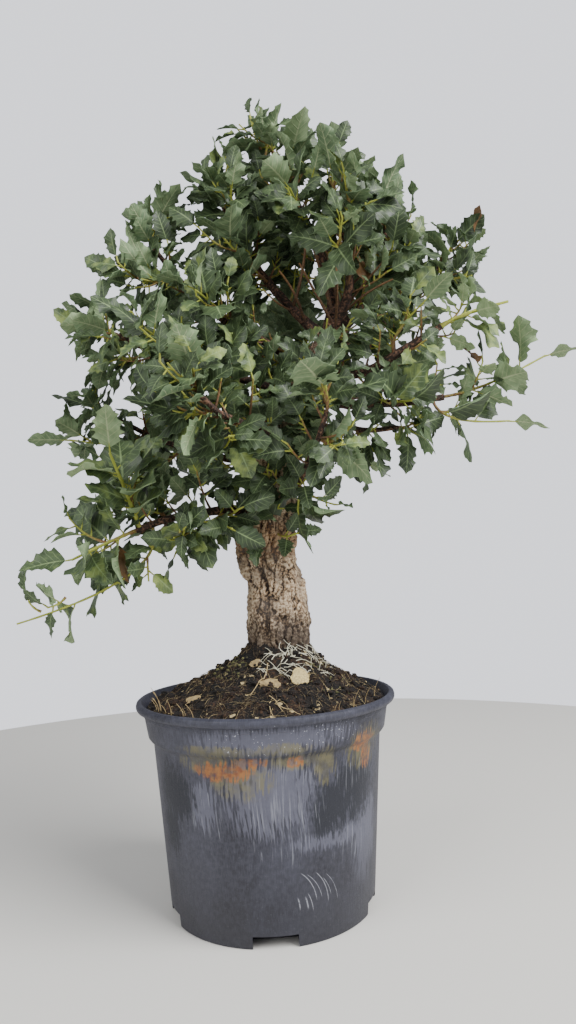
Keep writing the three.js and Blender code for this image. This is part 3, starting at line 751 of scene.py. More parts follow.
def addLeaf(pile, leaf, tone):
    length = leaf["length"] - leafPlan["petiole"]
    keys = leaf["keys"]
    chance = [draw(*keys, 20 + n) for n in range(7)]
    u, v = gridU, gridV
    edge = np.abs(v)
    sided = chance[0] + np.where(v < 0, chance[1], 0)
    # Teeth: one row of points in three stands out from the edge, more on some leaves than on others
    pointed = (gridRow + np.floor(3 * sided)) % blade["toothRows"] == 0
    teeth = np.where(pointed, 1.15, -0.5) * np.clip((u - 0.05) / 0.15, 0, 1)
    toothed = 1 + np.where(edge == 1, blade["toothOut"] * (0.5 + chance[2]) * teeth, 0)
    half = gridHalf * toothed * leaf["width"] * 0.5
    lift = -leaf["curl"] * u * u * length
    lift = lift - np.sign(v) * edge**1.5 * np.sin(2 * np.pi * u) * leaf["wave"] * leafPlan["wave"] * length
    ripples = 2 * np.pi * ((1.6 + 1.2 * chance[3]) * u + sided * 1.7)
    lift = lift + (0.03 + 0.05 * chance[4]) * length * edge**2 * np.sin(ripples) * np.sin(np.pi * u) ** 0.5
    # The halves fold up or down from the midrib, and the blade twists a little along its length
    lift = lift + (0.75 * chance[5] - 0.3) * edge**1.4 * half + (chance[6] - 0.5) * 0.7 * u * v * half
    drawnIn = 1 - 0.14 * chance[5] * edge
    ahead = leafPlan["petiole"] + u * length
    middle = leaf["root"] + np.outer(ahead, leaf["along"]) + np.outer(v * half * drawnIn, leaf["side"])
    middle = middle + np.outer(lift, leaf["facing"])
    rib = np.where(v == 0, blade["midrib"] * (1 - 0.8 * u), 0)
    thin = blade["thickness"] * np.where(edge == 1, 0.3, 0.5)
    upper = middle + np.outer(thin - rib * 0.35, leaf["facing"])
    lower = middle - np.outer(thin + rib, leaf["facing"])
    tip = leaf["root"] + leaf["along"] * (leaf["length"] + 0.5) - leaf["facing"] * (leaf["curl"] * length)
    dry = 1 if draw(*keys, 35) < blade["dryShare"] else 0
    place = np.column_stack([u, v, np.full(len(u), dry)])
    places = np.concatenate([place, place, [[1, 0, dry]]])
    pile.add(np.concatenate([upper, lower, [tip]]), gridFaces, gridSlots, places, tone)
    sag = leaf["facing"] * -0.5
    reach = leafPlan["petiole"] + 0.12 * length
    stalk = [leaf["root"] + leaf["along"] * (reach * s) + sag * min(1, 2 * s) for s, _ in blade["stalk"]]
    pile.addTube(stalk, [radius for _, radius in blade["stalk"]], 4, blade["stalkTone"], 2)


# A stem with slight knots. Its two ages run from 0, old wood, to 1, this year's growth.
def addStem(pile, line, radii, ages, sides):
    def swell(i, angle):
        return 1 + 0.12 * math.sin(i * 2.4) + 0.06 * math.sin(3 * angle + i)

    tones = np.repeat(np.linspace(*ages, len(line)), sides)
    pile.addTube(line, np.linspace(*radii, len(line)), sides, tones, 2, swell)


# What is added to the leaves of the solids: more leaves on each shoot, side twigs and sprigs on the limbs
fillPlan = {
    "moreLeaves": 8,
    "moreSize": 33,
    "sideTwigs": 3,
    "twigLength": (24, 44),
    "twigLeaves": 5,
    "twigLeafSize": 28,
    "sprigEvery": 13,  # along a limb
    "sprigLength": (20, 46),
    "sprigLeaves": 5,
    "sparse": {"backLow": 0.4, "right": 0.6, "lowRight": 0.4},  # limbs that carry fewer sprigs
    "sprigLeafSize": 27,
    "gap": 3.4,
    "woodGap": 2,
    "reach": 16,  # how far a further leaf may stand from the leaves and limbs of the solids
    # or stand anywhere inside these: centre and half sizes
    "core": [
        ((48, 5, 612), (150, 112, 148)),
        ((-72, -12, 486), (108, 92, 96)),
        ((12, -20, 430), (64, 74, 124)),
    ],
    "faceFrom": (30, 40, 560),  # leaves turn away from here
    "hollow": ((54, -34, 594), (44, 62, 36)),  # the shaded fork of the crown holds no further leaves
    "tries": 8,
}
crown = {"taken": leafPoints}  # the points of every leaf made so far
outlinePoints = np.concatenate([leafPoints, woodPoints[len(woodPoints) // 19 :, :3]])
boxLow, boxHigh = np.array(cadBox[0]) / mm, np.array(cadBox[1]) / mm


# A further leaf, kept only where it clears the wood and the leaves that are there already
def tryLeaf(root, ahead, baseAngle, opening, size, keys):
    for attempt in range(fillPlan["tries"]):
        jitter = np.array([draw(*keys, attempt, key) - 0.5 for key in (12, 13, 14)]) * 1.1
        jitter = jitter + unit((root - fillPlan["faceFrom"]) * (0.6, 1, 0)) * 0.7
        angle = baseAngle + attempt * 1.1
        scale = size * (0.78 + 0.36 * draw(*keys, 15)) * (1 - 0.05 * attempt)
        leaf = aimLeaf(root, ahead, angle, opening + 0.07 * attempt, jitter, scale, keys)
        probes = probesOf(leaf)[3:]
        low, high = probes.min(axis=0) - 12, probes.max(axis=0) + 12
        if (low + 10 < boxLow).any() or (high - 10 > boxHigh).any():
            continue
        middle, halves = fillPlan["hollow"]
        if (np.abs(probes - middle) < halves).all(axis=1).any():
            continue
        taken = crown["taken"]
        near = taken[((taken > low) & (taken < high)).all(axis=1)]
        inCore = any((((probes[-1] - c) / r) ** 2).sum() < 1 for c, r in fillPlan["core"])
        if not inCore and farFrom(outlinePoints, probes[-1:], fillPlan["reach"]):
            continue
        if farFrom(probes, near, fillPlan["gap"]) and farFrom(probes, woodPoints, fillPlan["woodGap"]):
            crown["taken"] = np.concatenate([taken, probes])
            return leaf
    return None


# Mostly dark leaves, a few lighter, and lighter still on a young shoot
def toneOf(keys, pale):
    chance = draw(*keys, 31)
    return min(1, 0.12 + 0.5 * chance**1.4 + 0.42 * pale + (0.25 if chance > 0.9 else 0))


# A short side twig that bends upward, with leaves by turns and one at its end
def addTwig(pile, start, direction, length, leaves, age, keys, pale, leafSize):
    lean = np.array([0, 0, 0.25 + 0.3 * draw(*keys, 41)])
    tip = start + unit(direction + lean) * length
    bend = (start, start + direction * length * 0.45, tip)
    kept = []
    for k in range(leaves):
        t = 0.35 + 0.65 * (k + 0.5) / leaves if k < leaves - 1 else 0.98
        opening = 0.3 if k == leaves - 1 else 0.8 + 0.4 * draw(*keys, k, 42)
        angle = 6.28 * draw(*keys, 43) + k * leafPlan["turn"]
        leaf = tryLeaf(bendAt(bend, t), bendDirection(bend, t), angle, opening, leafSize, (*keys, k))
        if leaf:
            kept.append(leaf)
    if kept:
        addStem(pile, bendLine(bend, 6), (1.25, 0.75), (age, min(1, age + 0.45)), 6)
    for leaf in kept:
        addLeaf(pile, leaf, toneOf(leaf["keys"], pale))
    return len(kept)


def addShoot(pile, index, laid):
    bend, extras = laid["bend"], laid["extras"]
    pale = extras.get("pale", 0)
    thick = extras.get("stem", 1.6)
    fill = extras.get("fill", 1)
    size = fillPlan["moreSize"] * extras.get("size", 1)
    steps = max(8, int(math.dist(bend[0], bend[2]) / 5))
    addStem(pile, bendLine(bend, steps), (thick, thick * 0.55), (0.25 + 0.45 * pale, 0.95), 7)
    kept = []
    for leaf in laid["leaves"]:
        # The stem bends finely here, so the leaf moves onto it from the solids' coarser stem
        shift = bendAt(bend, leaf["at"]) - leaf["root"]
        kept.append({**leaf, "root": leaf["root"] + shift})
    more = round(fillPlan["moreLeaves"] * fill)
    for k in range(more):
        t = 0.16 + (extras.get("last", 1) - 0.2) * (k + 0.6 * draw(index, k, 51)) / more
        opening = 0.75 + 0.45 * draw(index, k, 52)
        angle = index * 1.7 + (k + 0.5) * leafPlan["turn"] + 1.2
        leaf = tryLeaf(bendAt(bend, t), bendDirection(bend, t), angle, opening, size, (index, 60 + k))
        if leaf:
            kept.append(leaf)
    for leaf in kept:
        addLeaf(pile, leaf, toneOf(leaf["keys"], pale))
    count = len(kept)
    for j in range(round(fillPlan["sideTwigs"] * fill)):
        keys = (index, 80 + j)
        t = 0.2 + 0.22 * j + 0.12 * draw(*keys, 1)
        ahead = bendDirection(bend, t)
        direction = unit(ahead * 0.75 + turnedRound(ahead, 6.28 * draw(*keys, 2)) * 0.66)
        length = between(fillPlan["twigLength"], draw(*keys, 3))
        leaves, leafSize = fillPlan["twigLeaves"], fillPlan["twigLeafSize"]
        count += addTwig(pile, bendAt(bend, t), direction, length, leaves, 0.4, keys, pale, leafSize)
    return count


def makeShoots():
    count = 0
    for index, (name, laid) in enumerate(zip(shoots, laidShoots)):
        pile = Pile()
        count += addShoot(pile, index, laid)
        pile.make("leafy_" + name, leafMaterials, "foliage", ["shoot_" + name])
    return count


# Short leafy sprigs that stand along the limbs inside the crown
def makeSprigs():
    count = 0
    leaves, leafSize = fillPlan["sprigLeaves"], fillPlan["sprigLeafSize"]
    for index, (name, points) in enumerate(limbs.items()):
        pile = Pile()
        sprigs = int(runOf(points) / fillPlan["sprigEvery"] * fillPlan["sparse"].get(name, 1))
        for k in range(sprigs):
            keys = (200 + index, k)
            t = 0.16 + 0.8 * (k + 0.5 * draw(*keys, 1)) / sprigs
            ahead = directionAt(points, t)
            around = turnedRound(ahead, k * leafPlan["turn"] + 6.28 * draw(*keys, 2) * 0.3)
            length = between(fillPlan["sprigLength"], draw(*keys, 3))
            start = curveAt(points, t)[:3]
            count += addTwig(pile, start, unit(around + ahead * 0.5), length, leaves, 0.15, keys, 0, leafSize)
        if pile.count:
            pile.make("sprigs_" + name, leafMaterials, "foliage")
    return count


# Twigs that grow straight from the trunk, one every few millimetres up
trunkTwigs = {
    "from": 396,
    "to": 562,
    "every": 6.5,
    "length": (26, 52),
    "leaves": 6,
    "leafSize": 31,
}


# Three of four stand at the front and sides, the fourth at the back
def makeTrunkTwigs(plan):
    heights = [point[2] for point in curveLine(trunk, 60)]
    pile = Pile()
    count = 0
    for k in range(int((plan["to"] - plan["from"]) / plan["every"])):
        turned = math.radians(90 + 60 * math.sin(2.4 * k) if k % 4 == 3 else -95 + 78 * math.sin(2.4 * k))
        length = between(plan["length"], draw(230, k, 1))
        point = curveAt(trunk, float(np.interp(plan["from"] + k * plan["every"], heights, range(61))) / 60)
        out = np.array([math.cos(turned), math.sin(turned), 0.1])
        start, pale = point[:3] + out * (point[3] * 0.8), 0.25 * draw(230, k, 2)
        leaves, leafSize = plan["leaves"], plan["leafSize"]
        count += addTwig(pile, start, unit(out), length, leaves, 0.3, (240, k), pale, leafSize)
    pile.make("sprigs_trunk", leafMaterials, "foliage")
    return count


# Twigs placed one by one: start, direction, length, leaves, leaf size and paleness
placedTwigs = {
    "tuft": [
        ((12, -24, 368), (0.3, -0.8, 0.0), 24, 5, 27, 0.6),
        ((2, -24, 352), (-0.4, -0.8, -0.4), 22, 4, 27, 0.25),
        ((-12, -16, 374), (-0.8, -0.5, 0.0), 18, 4, 23, 0.1),
        ((18, -22, 350), (0.7, -0.6, -0.6), 22, 4, 26, 0.35),
    ],
    "crest": [
        ((18, 0, 748), (-0.35, -0.2, 0.8), 36, 5, 28, 0.2),
        ((22, 0, 740), (0.25, -0.3, 0.8), 34, 5, 27, 0.2),
        ((12, 4, 756), (-0.8, -0.1, 0.5), 26, 4, 26, 0.1),
    ],
    "core": [
        ((82, 14, 616), (-0.6, 0.5, 0.1), 58, 8, 30, 0),
        ((68, 12, 656), (-0.3, 0.8, -0.1), 56, 8, 30, 0),
        ((42, 8, 590), (0.2, 0.7, 0.6), 60, 8, 30, 0),
        ((20, 14, 618), (0.5, 0.7, 0.3), 56, 8, 30, 0),
        ((100, 24, 580), (0.1, 0.6, 0.7), 60, 8, 30, 0),
        ((42, 64, 532), (0.1, 0.2, 0.9), 70, 9, 30, 0),
        ((36, 92, 560), (0.4, -0.1, 0.9), 60, 9, 30, 0),
        ((112, 62, 588), (-0.9, 0.1, 0.3), 60, 9, 30, 0),
        ((28, 112, 578), (0.5, -0.2, 0.8), 50, 8, 30, 0),
        ((66, 20, 540), (-0.2, 0.9, 0.3), 50, 8, 30, 0),
    ],
    "trail": [
        ((-176, -62, 300), (-0.5, -0.2, -0.8), 18, 4, 28, 0.6),
        ((-198, -62, 288), (-0.6, -0.1, 0.2), 14, 3, 24, 0.8),
    ],
}


# Bare stems in the fork of the crown: start, tip and radius
bareStems = [
    ((88, 8, 564), (64, -22, 640), 2.2),
    ((86, 2, 560), (50, -36, 612), 1.7),
    ((90, 2, 566), (106, -40, 632), 1.9),
    ((86, 0, 556), (84, -52, 618), 1.5),
    ((92, 6, 572), (76, -10, 652), 2.4),
    ((56, 2, 566), (30, -38, 604), 1.6),
    ((44, 4, 582), (58, -30, 640), 1.8),
    ((94, 0, 574), (132, -34, 612), 1.5),
    ((92, -2, 568), (140, -40, 592), 1.4),
]


def makeBareStems():
    pile = Pile()
    for k, (start, tip, radius) in enumerate(bareStems):
        start, tip = np.array(start, float), np.array(tip, float)
        bow = np.array([draw(260, k, n) - 0.5 for n in range(3)]) * 16
        line = bendLine((start, (start + tip) / 2 + bow, tip), 10)
        addStem(pile, line, (radius, 0.6 * radius), (0.12, 0.4), 8)
    pile.make("fork_stems", leafMaterials, "bark")


def makePlacedTwigs():
    count = 0
    for index, (name, rows) in enumerate(placedTwigs.items()):
        pile = Pile()
        for k, (start, towards, length, leaves, size, pale) in enumerate(rows):
            direction = unit(np.array(towards))
            keys = (250 + index, k)
            count += addTwig(pile, np.array(start, float), direction, length, leaves, 0.5, keys, pale, size)
        pile.make("sprigs_" + name, leafMaterials, "foliage")
    return count


report(f"shoots made, with leaves: {makeShoots()}")
makeBareStems()
report(f"twigs placed by hand, with leaves: {makePlacedTwigs()}")
report(f"trunk twigs made, with leaves: {makeTrunkTwigs(trunkTwigs)}")
report(f"sprigs made, with leaves: {makeSprigs()}")


# Wood: corky bark on the trunk, smoother and darker bark on the limbs
barkLook = {
    "cork": [(0.12, "#2c2019"), (0.5, "#a98c6b"), (0.95, "#e0caac")],
    "limb": [(0.2, "#2c2019"), (0.55, "#4f3a30"), (0.95, "#8b6752")],
    "grey": "#74695f",
    "orange": "#c08a5a",
    "foot": "#33271f",
}
barkShape = {
    "sides": 170,
    "ringStep": 1.8,
    "footDepth": 150,
    "corkFrom": 252,
    "corkTop": 560,
    "plates": 0.13,  # share of the radius, as in the solid
    "lumps": 0.07,
    "furrowDepth": 2.4,
    "furrowSize": (8, 30),  # across and up
    "flakeDepth": 0.9,
    "limbShare": 0.82,  # of the radius in the solid, which is rounder and has no bark
    "limbSides": 14,
    "limbRingStep": 3.5,
    "mainCrack": (-1.95, 252, 322),  # angle, from, to
}


# The broad plates and lumps that the solid trunk has, as a share of its radius
def corkRelief(angle, height):
    start = np.clip((height - barkShape["corkFrom"]) / 10, 0, 1)
    fade = np.clip((barkShape["corkTop"] - height) / 120, 0, 1)
    drift = 0.8 * np.sin(height / 34) + 0.35 * np.sin(height / 11)
    plates = np.abs(np.sin(2.5 * angle + drift)) - 0.6
    lumps = np.sin(height / 8.5 + 3 * np.sin(angle * 2)) * np.cos(3 * angle - height / 19)
    return start * fade * (barkShape["plates"] * plates + barkShape["lumps"] * lumps)


# 1 along narrow wandering lines where the noise changes sign, 0 elsewhere
def furrowOf(x, y, z, wide):
    return 1 - smooth(abs(noise.noise(Vector((x, y, z)))), 0, wide)


# Tall furrows, ledges, flakes and grain: millimetres outward and a tone from 0 to 1, which is darker where
# the bark is cut in and lighter where it stands out: partly the cork's own darker furrows, partly painted
# shade and light on its relief
def corkDetail(point, angle):
    x, y, z = point
    drift = noise.noise_vector(Vector((x / 14, y / 14, z / 20)))
    bentX, bentY, bentZ = x + 4 * drift.x, y + 4 * drift.y, z + 7 * drift.z
    wide, tall = barkShape["furrowSize"]
    furrow = furrowOf(bentX / wide, bentY / wide, bentZ / tall, 0.15)
    ledge = furrowOf(bentX / 17 + 5, bentY / 17, bentZ / 8, 0.06)
    near = noise.voronoi(Vector((bentX / 3.4, bentY / 3.4, bentZ / 6)))[0]
    flake = 1 - smooth(near[1] - near[0], 0.0, 0.4)
    grain = noise.fractal(Vector((x / 2.6, y / 2.6, z / 3.4)), 0.9, 2.1, 3)
    broad = noise.noise(Vector((bentX / 9 + 3, bentY / 9, bentZ / 15)))
    mainAngle, low, high = barkShape["mainCrack"]
    turned = abs(math.remainder(angle - mainAngle - 0.05 * math.sin(z / 9), 2 * math.pi))
    deep = (1 - smooth(turned, 0.02, 0.13)) * smooth(z, low - 8, low + 8)
    deep = deep * (1 - smooth(z, high - 8, high + 8))
    out = -barkShape["furrowDepth"] * max(furrow, 1.4 * deep) - 1.3 * ledge - barkShape["flakeDepth"] * flake
    # The tone darkens in the furrows, ledges, flake gaps and main crack: partly their darker cork, partly
    # painted shade in these recesses
    tone = 0.86 - 0.6 * max(furrow, deep) - 0.3 * ledge - 0.3 * flake + 0.3 * grain + 0.2 * broad
    return out + 0.8 * grain + 1.3 * broad, min(max(tone, 0), 1)


def addTrunk(pile, shape):
    steps = int((trunk[-1][2] - trunk[0][2]) / shape["ringStep"])
    angles = np.arange(shape["sides"]) / shape["sides"] * 2 * math.pi
    rings, places, tones = [], [], []
    stations = [(np.array([*trunk[0][:2], shape["footDepth"], trunk[0][3]], float), np.array([0, 0, 1.0]))]
    for i in range(steps + 1):
        point = curveAt(trunk, i / steps)
        if point[2] > shape["corkFrom"] - 26:
            stations.append((point, directionAt(trunk, i / steps)))
    for point, along in stations:
        side = across([1, 0, 0], along)
        outward = np.cos(angles)[:, None] * side + np.sin(angles)[:, None] * np.cross(along, side)
        ring = point[:3] + outward * (point[3] * (1 + corkRelief(angles, point[2])))[:, None]
        corky = 1 - smooth(point[2], 470, 570)
        found = [corkDetail(p, a) for p, a in zip(ring, angles)]
        depth = np.array([out for out, _ in found]) * (0.35 + 0.65 * corky)
        rings.append(ring + outward * (depth * min(1, point[3] / 14))[:, None])
        tones += [tone for _, tone in found]
        places += [(corky, 0, 0)] * shape["sides"]
    pile.add(np.concatenate(rings), tubeFaces(len(stations), shape["sides"]), 0, places, tones)


# A limb swells into a collar at the trunk and has a knot here and there
def addLimb(pile, index, points, shape):
    run = runOf(points)
    steps = int(run / shape["limbRingStep"])
    centres, radii, tones = [], [], []
    for i, point in enumerate(curveLine(points, steps)):
        away = i / steps * run
        wander = noise.noise_vector(Vector((index * 7.3, away / 26, 0))) * (1.3 * smooth(away, 0, 30))
        centres.append(point[:3] + np.array(wander))
        knot = 1 + 0.22 * max(0, noise.noise(Vector((index * 3.1, away / 7, 5))) - 0.1)
        radii.append(point[3] * shape["limbShare"] * knot * (1 + 0.6 * math.exp(-away / 11)))

    def ripple(i, angle):
        lift = noise.noise(Vector((math.cos(angle) * 1.1, math.sin(angle) * 1.1, i * 0.33 + index * 9)))
        tones.append(0.5 + 0.5 * lift)
        return 1 + 0.11 * lift

    pile.addTube(centres, radii, shape["limbSides"], tones, 0, ripple)


def makeBark(look):
    material, tree, shader = newMaterial("cork bark")
    height = inMillimetres(tree).part("Z")
    corky = attributeOf(tree, "place", "Vector").part("X")
    cloud = mottled(tree, 22.0, 0.35, 0.65)
    speck = mottled(tree, 2.4, 0.32, 0.7, 6.0)
    fine = mottled(tree, 0.9, 0.25, 0.75, 6.0)
    # On the trunk the tone carries the painted shade of the furrows and crack; the specks and fine grain are
    # the cork's own
    worn = attributeOf(tree, "tone") + (speck - 0.5) * 0.8 + (fine - 0.5) * 0.35
    cork = worn.ramp(*look["cork"]).tinted(cloud * 0.55, look["grey"])
    band = height.stretch(322, 338) * height.stretch(372, 350)
    cork = cork.tinted(band * (speck * 0.55), look["orange"])
    # Darker towards the bottom of the trunk, from 300 mm down to the soil
    darkerLow = height + speck * 16.0
    cork = cork.tinted(darkerLow.stretch(300, 252, 0.0, 0.82), look["foot"])
    base = mixOf(corky, worn.ramp(*look["limb"]), cork)
    dress(shader, base, speck.stretch(0, 1, 0.78, 0.95), speck * 0.8 + fine * 0.35, 1.0, 0.8)
    return material


def makeWood():
    pile = Pile()
    addTrunk(pile, barkShape)
    for index, points in enumerate(limbs.values()):
        addLimb(pile, index, points, barkShape)
    pile.make("corky_tree", [makeBark(barkLook)], "bark", ["trunk_and_limbs"], 60)


makeWood()
report("trunk and limbs made")


# Pot: a thin moulded nursery pot with a rolled lip, a collar band and drain pockets at the foot
potShape = {
    "segments": 192,
    "outside": [
        (0, 0), (95.4, 0), (96.6, 0.4), (97.1, 1.6),
        (103.3, 80), (109.4, 156.5), (109.8, 158.6), (111.2, 160.6),
        (113.2, 162), (114.4, 163.8), (114.9, 166.5), (116.6, 176),
        (117.6, 182.4), (118.5, 183.2), (118.8, 186.6),
        (120.2, 187.6), (122.6, 188), (124.3, 188.8), (125.3, 190.4),
        (125.4, 192.4), (124.8, 194.4), (123.2, 195.7),
        (121.6, 196), (120.2, 195.5),
    ],
    "inside": [(119.5, 194.2), (118.4, 191.6), (116, 187.6), (107, 160), (101, 80), (94.4, 2.6), (0, 2.6)],
    "notches": 5,
    "notchWidth": 39,
    "notchHeight": 11,
    "notchFrom": 77,
    "wall": 2.6,
    "drainRadius": 7,
    "insideWall": 95.9,
}


# A closed solid turned round the pot's axis, from a profile that starts and ends on it
def latheOf(profile, segments):
    points = [(0, 0, profile[0][1])]
    angles = [j / segments * 2 * math.pi for j in range(segments)]
    for r, z in profile[1:-1]:
        points += [(r * math.cos(a), r * math.sin(a), z) for a in angles]
    points.append((0, 0, profile[-1][1]))
    rings, top = len(profile) - 2, len(points) - 1
    faces = []
    for j in range(segments):
        k = (j + 1) % segments
        faces.append((0, 1 + k, 1 + j))
        for i in range(rings - 1):
            a, b = 1 + i * segments + j, 1 + i * segments + k
            faces.append((a, b, b + segments, a + segments))
        last = 1 + (rings - 1) * segments
        faces.append((last + j, last + k, top))
    return points, faces


def plainMesh(name, points, faces):
    mesh = bpy.data.meshes.new(name)
    mesh.from_pydata((np.array(points, float) * mm).tolist(), [], faces)
    mesh.update()
    return bpy.data.objects.new(name, mesh)


# Directions out from the axis through each notch
def notchWays():
    angles = [-math.pi / 2 + i * 2 * math.pi / potShape["notches"] for i in range(potShape["notches"])]
    return [np.array([math.cos(angle), math.sin(angle), 0]) for angle in angles]


# One box for each notch, reaching out from the axis
def boxesRound(name, start, end, width, low, high):
    points, faces = [], []
    for out in notchWays():
        side = np.array([-out[1], out[0], 0])
        n = len(points)
        for z in (low, high):
            for r, s in ((start, -1), (end, -1), (end, 1), (start, 1)):
                points.append(out * r + side * (s * width / 2) + np.array([0, 0, z]))
        corners = [(3, 2, 1, 0), (4, 5, 6, 7), (0, 1, 5, 4), (1, 2, 6, 5), (2, 3, 7, 6), (3, 0, 4, 7)]
        faces += [tuple(n + c for c in face) for face in corners]
    return plainMesh(name, points, faces)


def drainPins():
    pile = Pile()
    for out in notchWays():
        middle = out * (potShape["notchFrom"] + 10)
        ends = [middle + np.array([0, 0, z]) for z in (8, 16)]
        pile.addTube(ends, [potShape["drainRadius"]] * 2, 28, 0)
    return plainMesh("drain_pins", np.concatenate(pile.points), pile.faces)


def carve(target, tool, operation):
    scene = bpy.context.scene.collection
    scene.objects.link(target)
    scene.objects.link(tool)
    modifier = target.modifiers.new("carve", "BOOLEAN")
    modifier.object = tool
    modifier.operation = operation
    modifier.solver = "EXACT"
    bpy.context.view_layer.update()
    seen = target.evaluated_get(bpy.context.evaluated_depsgraph_get())
    result = bpy.data.meshes.new_from_object(seen)
    scene.objects.unlink(target)
    target.modifiers.clear()
    target.data = result
    bpy.data.objects.remove(tool)
    return target


potLook = {
    "slate": ("#1f1f2a", "#343541"),
    "scuff": "#737485",
    "dark": "#141723",
    "ochre": "#77704a",
    "rust": ("#9d6633", "#7d3f1c"),
    "chalk": "#d5d8e2",
    # foot: darkens the pot towards its bottom, partly its own colour and partly painted shade
    "foot": "#22222a",
    "reach": 110.0,  # radius in millimetres at which the surface is unrolled
}
# Marks on the unrolled wall, in millimetres: around (from the front, right is positive), up and half sizes
potMarks = {
    "orange": [
        (-50, 149, 15, 7), (-31, 150, 15, 8), (-14, 157, 12, 4),
        (23, 156, 8, 4), (93, 163, 12, 8), (101, 150, 7, 11),
    ],
    "ochre": [
        (-52, 156, 26, 10), (-24, 143, 24, 15), (-38, 167, 34, 4), (12, 168, 20, 5), (24, 156, 30, 6),
        (50, 150, 10, 14), (98, 158, 22, 16),
    ],
    "dark": [
        (60, 114, 22, 24), (88, 126, 24, 28), (48, 102, 12, 14), (-100, 122, 26, 24), (-112, 92, 14, 22),
    ],
    "pale": [(2, 128, 40, 30), (70, 86, 44, 8), (106, 78, 18, 40), (-64, 120, 14, 20), (6, 176, 60, 10)],
    "drips": [(12, 118, 30, 40), (80, 138, 26, 12), (-58, 112, 16, 22), (84, 82, 26, 16)],
    "specks": [(4, 176, 46, 12), (40, 178, 40, 10)],
}
# Scratches and long drips: centre around and up, radius, half width, and the angles between which each runs
potScratches = [
    (5, 32, 36, 0.6, 0.1, 1.0), (16, 32, 37, 0.55, 0.0, 0.9),
    (22, 30, 35, 0.4, 0.2, 0.8), (26, 28, 38, 0.35, 0.1, 0.9),
    (-1, 28, 33, 1.1, 0.05, 0.45), (-8, 30, 32, 0.9, 0.0, 0.4),
    (4, 26, 33, 0.6, 0.05, 0.6), (11, 30, 36, 0.4, 0.2, 1.0),
    (-395, 122, 400, 0.7, -0.05, 0.06), (-389, 118, 400, 0.9, -0.07, 0.07),
    (-383, 112, 400, 0.8, -0.07, 0.07),
    (-375, 120, 400, 0.7, -0.06, 0.05), (-406, 126, 400, 0.6, -0.04, 0.03),
    (-367, 126, 400, 0.5, -0.04, 0.03),
]


def makePotPlastic(look, marks, scratches):
    material, tree, shader = newMaterial("nursery pot plastic")
    place = inMillimetres(tree)
    around = mathsOf("ARCTAN2", place.part("X"), place.part("Y") * -1.0) * look["reach"]
    height = place.part("Z")
    swayed = around + mathsOf("SINE", height * 0.06) * 1.6

    def dripping(rise, size, low, high, shift=0.0):
        flat = addNode(tree, "CombineXYZ", {0: swayed, 1: 0.0, 2: height * rise})
        return mottled(tree, size, low, high, 3.0, shift, flat)

    drips = dripping(0.12, 2.2, 0.42, 0.66)
    cloud = mottled(tree, 46.0, 0.35, 0.65, 3.0)
    blotch = mottled(tree, 9.0, 0.32, 0.68, 7.0)
    smudge = mottled(tree, 4.0, 0.35, 0.72, 7.0, 9.0)
    grit = mottled(tree, 0.7, 0.3, 0.7)
    ragged = drips * 0.75 + smudge * 0.2 - 0.4

    def anyOf(masks):
        total = masks[0]
        for mask in masks[1:]:
            total = mathsOf("MAXIMUM", total, mask)
        return total

    def markOf(kind):
        return anyOf([useGroup(tree, patch, around, height, *row, ragged)[0] for row in marks[kind]])

    base = mixOf(cloud, *look["slate"])
    base = base.tinted(smudge * 0.14, look["scuff"])
    base = base.tinted(dripping(0.12, 0.8, 0.45, 0.75, 40.0) * 0.16, look["scuff"])
    base = base.tinted(markOf("pale") * 0.42, look["scuff"])
    base = base.tinted(markOf("dark") * 0.92, look["dark"])
    drip = markOf("drips") * dripping(0.045, 2.0, 0.52, 0.72)
    base = base.tinted(drip * 0.22, look["chalk"])
    base = base.tinted(markOf("ochre") * blotch.stretch(0, 1, 0.35, 0.95) * 0.6, look["ochre"])
    rust = markOf("orange") * blotch.stretch(0.1, 0.7, 0.3, 1.0)
    base = base.tinted(rust * 0.85, mixOf(smudge, *look["rust"]))
    # Painted shade: a darker band, broken into blotches, on the collar's step 158 to 168 mm up, which faces
    # down
    edge = height.stretch(158, 162) * height.stretch(168, 163)
    base = base.tinted(edge * blotch * 0.35, look["dark"])
    # Darker towards the foot, from 105 mm down: partly the plastic's own darker foot, partly painted shade
    # under the light from above
    base = base.tinted(height.stretch(105, 10) * 0.62, look["foot"])
    scored = anyOf([useGroup(tree, scratch, around, height, *row)[0] for row in scratches])
    scored = scored * grit.stretch(0.1, 0.5, 0.35, 1.0)
    base = base.tinted(scored * 0.45, look["chalk"])
    spots = mottled(tree, 1.7, 0.69, 0.73, 1.0) * (markOf("specks") + 0.04)
    base = base.tinted(spots * 0.6, look["chalk"])
    worn = drip * 0.4 + grit * 0.5
    lift = worn + (drips * 0.5 - scored * 0.6)
    dress(shader, base, worn.stretch(0, 1, 0.46, 0.78), lift, 0.25, 0.35)
    return material


